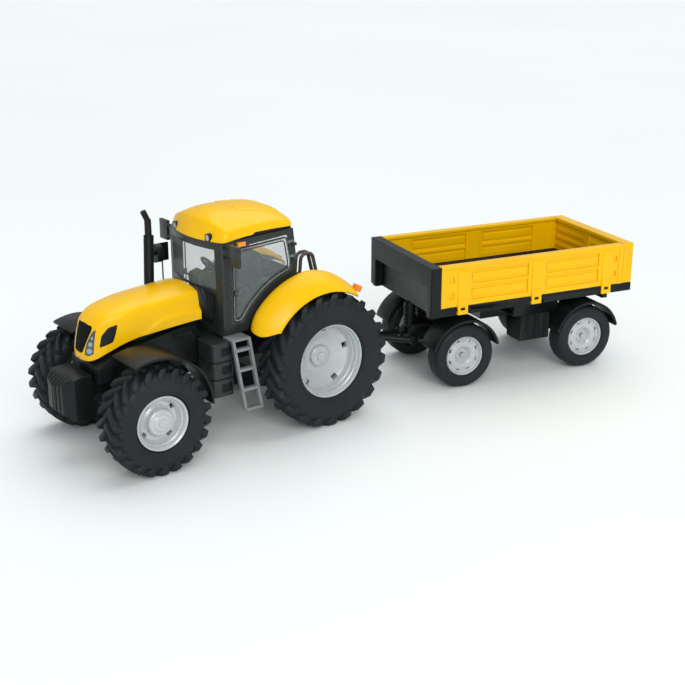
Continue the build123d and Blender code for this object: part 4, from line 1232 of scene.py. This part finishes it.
board += [((a + 1.2, b - 1.2), (58.0, 61.5), z) for a, b in PANELS for z in ((91.6, 98.2), (107.0, 113.6))]
board += [((a + 0.2, b - 0.2), (60.2, 63.9), (75.4, 90.0)) for a, b in POSTS]
pockets = [((-80.6, -75.2), (60.8, 64), z) for z in ((90.6, 96.4), (106.4, 112.2))]
pockets += [((-261.6, -257.6), (60.8, 64), z) for z in ((92.0, 97.0), (106.4, 111.4))]
pockets += [((a + 3.0, b - 3.0), (62.6, 64), (79.4, 82.2)) for a, b in POSTS]
side_board = stepped(board, pockets)
pair(
    "side_board", side_board, TRAILER, yellow, "side_board_*", slot="yellow_plastic", bevel=0.35, sharp=30,
)
slots = bmesh.new()
for a, b in POSTS:
    box(slots, (a + 2.7, b - 2.7), (62.2, 62.75), (79.1, 82.5))
for side, shape in (("left", slots), ("right", mirrored(slots))):
    piece(
        f"side_board_slots_{side}", outward(shape), TRAILER, black, body_of(f"side_board_{side}"),
        slot="black_plastic",
    )

g0, g1 = -280.0, -269.2
gate = [
    ((g0 + 2.0, g1 - 1.4), (-62.5, 62.5), (83.4, 123)),
    ((g0, g1), (-62.5, 62.5), (119.0, 123)),
    ((g0 + 0.6, g1 - 0.6), (-62.5, 62.5), (83.4, 88)),
    ((g0, g1), (-62.5, -58), (83.4, 121)),
    ((g0, g1), (58, 62.5), (83.4, 121)),
    ((g0, g1 - 0.3), (-4.5, 4.5), (83.4, 121)),
]
gate += [((g0 + 0.8, g1 - 0.9), (-60, 60), z) for z in ((92.6, 96.4), (100.8, 104.4), (109.0, 112.8))]
gate += [((g0 - 1.2, g0 + 3), y, (75.4, 90)) for y in ((-45.6, -34.4), (34.4, 45.6))]
piece(
    "tailgate_moulded", stepped(gate), TRAILER, yellow, body_of("tailgate"), ("tailgate",),
    "yellow_plastic", bevel=0.35, sharp=30,
)

head = stepped(
    [((-66, -56), (-64, 64), (76, 123)), ((-66, -56.6), (-61.6, 61.6), (74.2, 78))],
    [((-63.8, -50), (-54.4, 54.4), (70, 103))],
)
piece(
    "bulkhead_moulded", head, TRAILER, black, body_of("bulkhead"), ("bulkhead",), "black_plastic",
    bevel=0.8, bevel_steps=3, sharp=30,
)

# ---- tank and battery box: three stacked sections with a shallow window in each ----
plan = eased([(84, 24.7), (106, 24.7), (106, 51), (84, 51)], 5.0, 7)
tank = bmesh.new()
prism(tank, inset(plan, 0.9), "Z", (42.4, 89.4))
sections = ((42.0, 57.2), (58.6, 72.4), (73.8, 90.0))
for node, mirror_it in (("fuel_tank", False), ("battery_box", True)):
    core = tank.copy()
    shape = mirrored(core) if mirror_it else core
    piece(f"{node}_core", outward(shape), TRACTOR, black, "tractor", (node,), "black_plastic", bevel=0.3)
    for number, (low_z, high_z) in enumerate(sections):
        shape = bmesh.new()
        prism(shape, plan, "Z", (low_z, high_z))
        mid_z = (low_z + high_z) / 2
        windows = bmesh.new()
        box(windows, (88.0, 97.0), (49.8, 52), (mid_z - 3.6, mid_z + 3.6))
        if mirror_it:
            shape, windows = mirrored(shape), mirrored(windows)
        piece(
            f"{node}_section_{number}", outward(shape), TRACTOR, charcoal, "tractor", slot="black_plastic",
            bevel=0.9, bevel_steps=3, cutters=(outward(windows),),
        )

# ---- cab: beads round the glass, the light grey one a painted highlight line; door grips ----
def arc_point(radius, angle):
    a = radians(angle)
    return (REAR_AXLE[0] + radius * cos(a), REAR_AXLE[1] + radius * sin(a))


DOOR = [(79.6, 100.6), (79.2, 167), (21.6, 170.4), (17.4, 148)]
DOOR += [arc_point(80.0, angle) for angle in (77.6, 66, 54, 42, 30.6)]


def bead(bm, outline, y, radius, steps=8):
    """A closed round bead along an outline on the cab's side."""
    path = [(x, y, z) for x, z in outline]
    tube(bm, path + path[:2], radius, steps, caps=False)


for side in (-1, 1):
    word = "left" if side > 0 else "right"
    body = body_of(f"door_{word}")
    seal = bmesh.new()
    bead(seal, eased(inset(DOOR, 1.6), 3.0), side * 41.7, 0.6)
    bead(seal, eased(inset(DOOR, 4.4), 3.0), side * 41.2, 0.55)
    piece(f"door_seal_{word}", outward(seal), TRACTOR, black, body, slot="black_plastic", sharp=60)
    # the light grey bead between the black seals is a painted highlight line round the door glass
    rim = bmesh.new()
    bead(rim, eased(inset(DOOR, 2.6), 3.0), side * 41.95, 0.42)
    piece(f"door_edge_{word}", outward(rim), TRACTOR, light_grey_painted_highlight, body, slot="grey_plastic", sharp=60)
    grip = bmesh.new()
    y = side * 40.4
    inner = y - side * 1.5
    tube(grip, smooth_line([(75, y, 108), (73, inner, 110), (73, inner, 124), (75, y, 126)], 4), 0.9, 10)
    box(grip, (73.6, 77.2), sorted((side * 41.4, side * 43.4)), (125.4, 130.4))
    piece(f"door_grip_{word}", outward(grip), TRACTOR, black, body, slot="black_plastic", bevel=0.3)

# ---- pillar strips and the rings on the drawbar post ----
# the strips are raised ribs; their grey, lighter than the cab frame, also paints the highlight line down each
# pillar
strips = bmesh.new()
for y in (-1, 1):
    tube(strips, [(87.6, y * 42.0, 100), (87.6, y * 42.0, 171)], 0.8, 10)
    tube(strips, [(82.6, y * 42.1, 101), (82.4, y * 42.1, 168)], 0.5, 10)
piece("pillar_strips", outward(strips), TRACTOR, dark_grey, "tractor", slot="black_plastic", sharp=60)
post = bmesh.new()
for number in range(5):
    z = 51.0 + number * 4.2
    rows = [
        [(-67 + r * cos(a), r * sin(a), z + dz) for a in turns(32)]
        for r, dz in ((5.2, -1.3), (6.1, -0.9), (6.1, 0.9), (5.2, 1.3))
    ]
    grid(post, rows, wrap_rows=True, wrap_columns=True)
piece(
    "drawbar_post_rings", outward(post), TRAILER, black, body_of("bogie"), slot="black_plastic", bevel=0.2
)

# ---- everything else keeps its CAD shape, with rounded edges and its own finish ----
ROUNDER = {"front_weight": 1.3, "cab_interior": 0.8, "seat": 0.9, "toolboxes": 0.6, "exhaust": 0.4}
# the ladders' light grey is partly their own grey, partly a painted highlight standing for a metal sheen
FINISH = {"rear_hoses": hose_rubber, "ladder_left": light_grey_painted_highlight, "ladder_right": light_grey_painted_highlight}
FINISH |= {"cab_frame": charcoal, "toolboxes": charcoal, "mirror_left": charcoal, "mirror_right": charcoal}
for node in sorted(frame["nodes"]):
    if node in done:
        continue
    slot = SLOT_OF[node]
    dress(node, FINISH.get(node, SLOT_MATERIALS[slot]), bevel=ROUNDER.get(node, 0.3))

# ---- floor ----
FLOOR_SIZE = 6.0
bm = bmesh.new()
add_faces(
    bm,
    [(x * FLOOR_SIZE, y * FLOOR_SIZE, 0) for x, y in ((-1, -1), (1, -1), (1, 1), (-1, 1))],
    [(0, 1, 2, 3)],
)
floor = plain_object("floor", bm)
floor_material, tree, shader = node_material("pale_floor")
tint = ramp(tree, noise(tree, 1.2, 2.0), (0.86, 0.90, 0.89), (0.89, 0.93, 0.92))
tree.links.new(tint, shader.inputs["Base Color"])
shader.inputs["Roughness"].default_value = 0.55
floor.data.materials.append(floor_material)
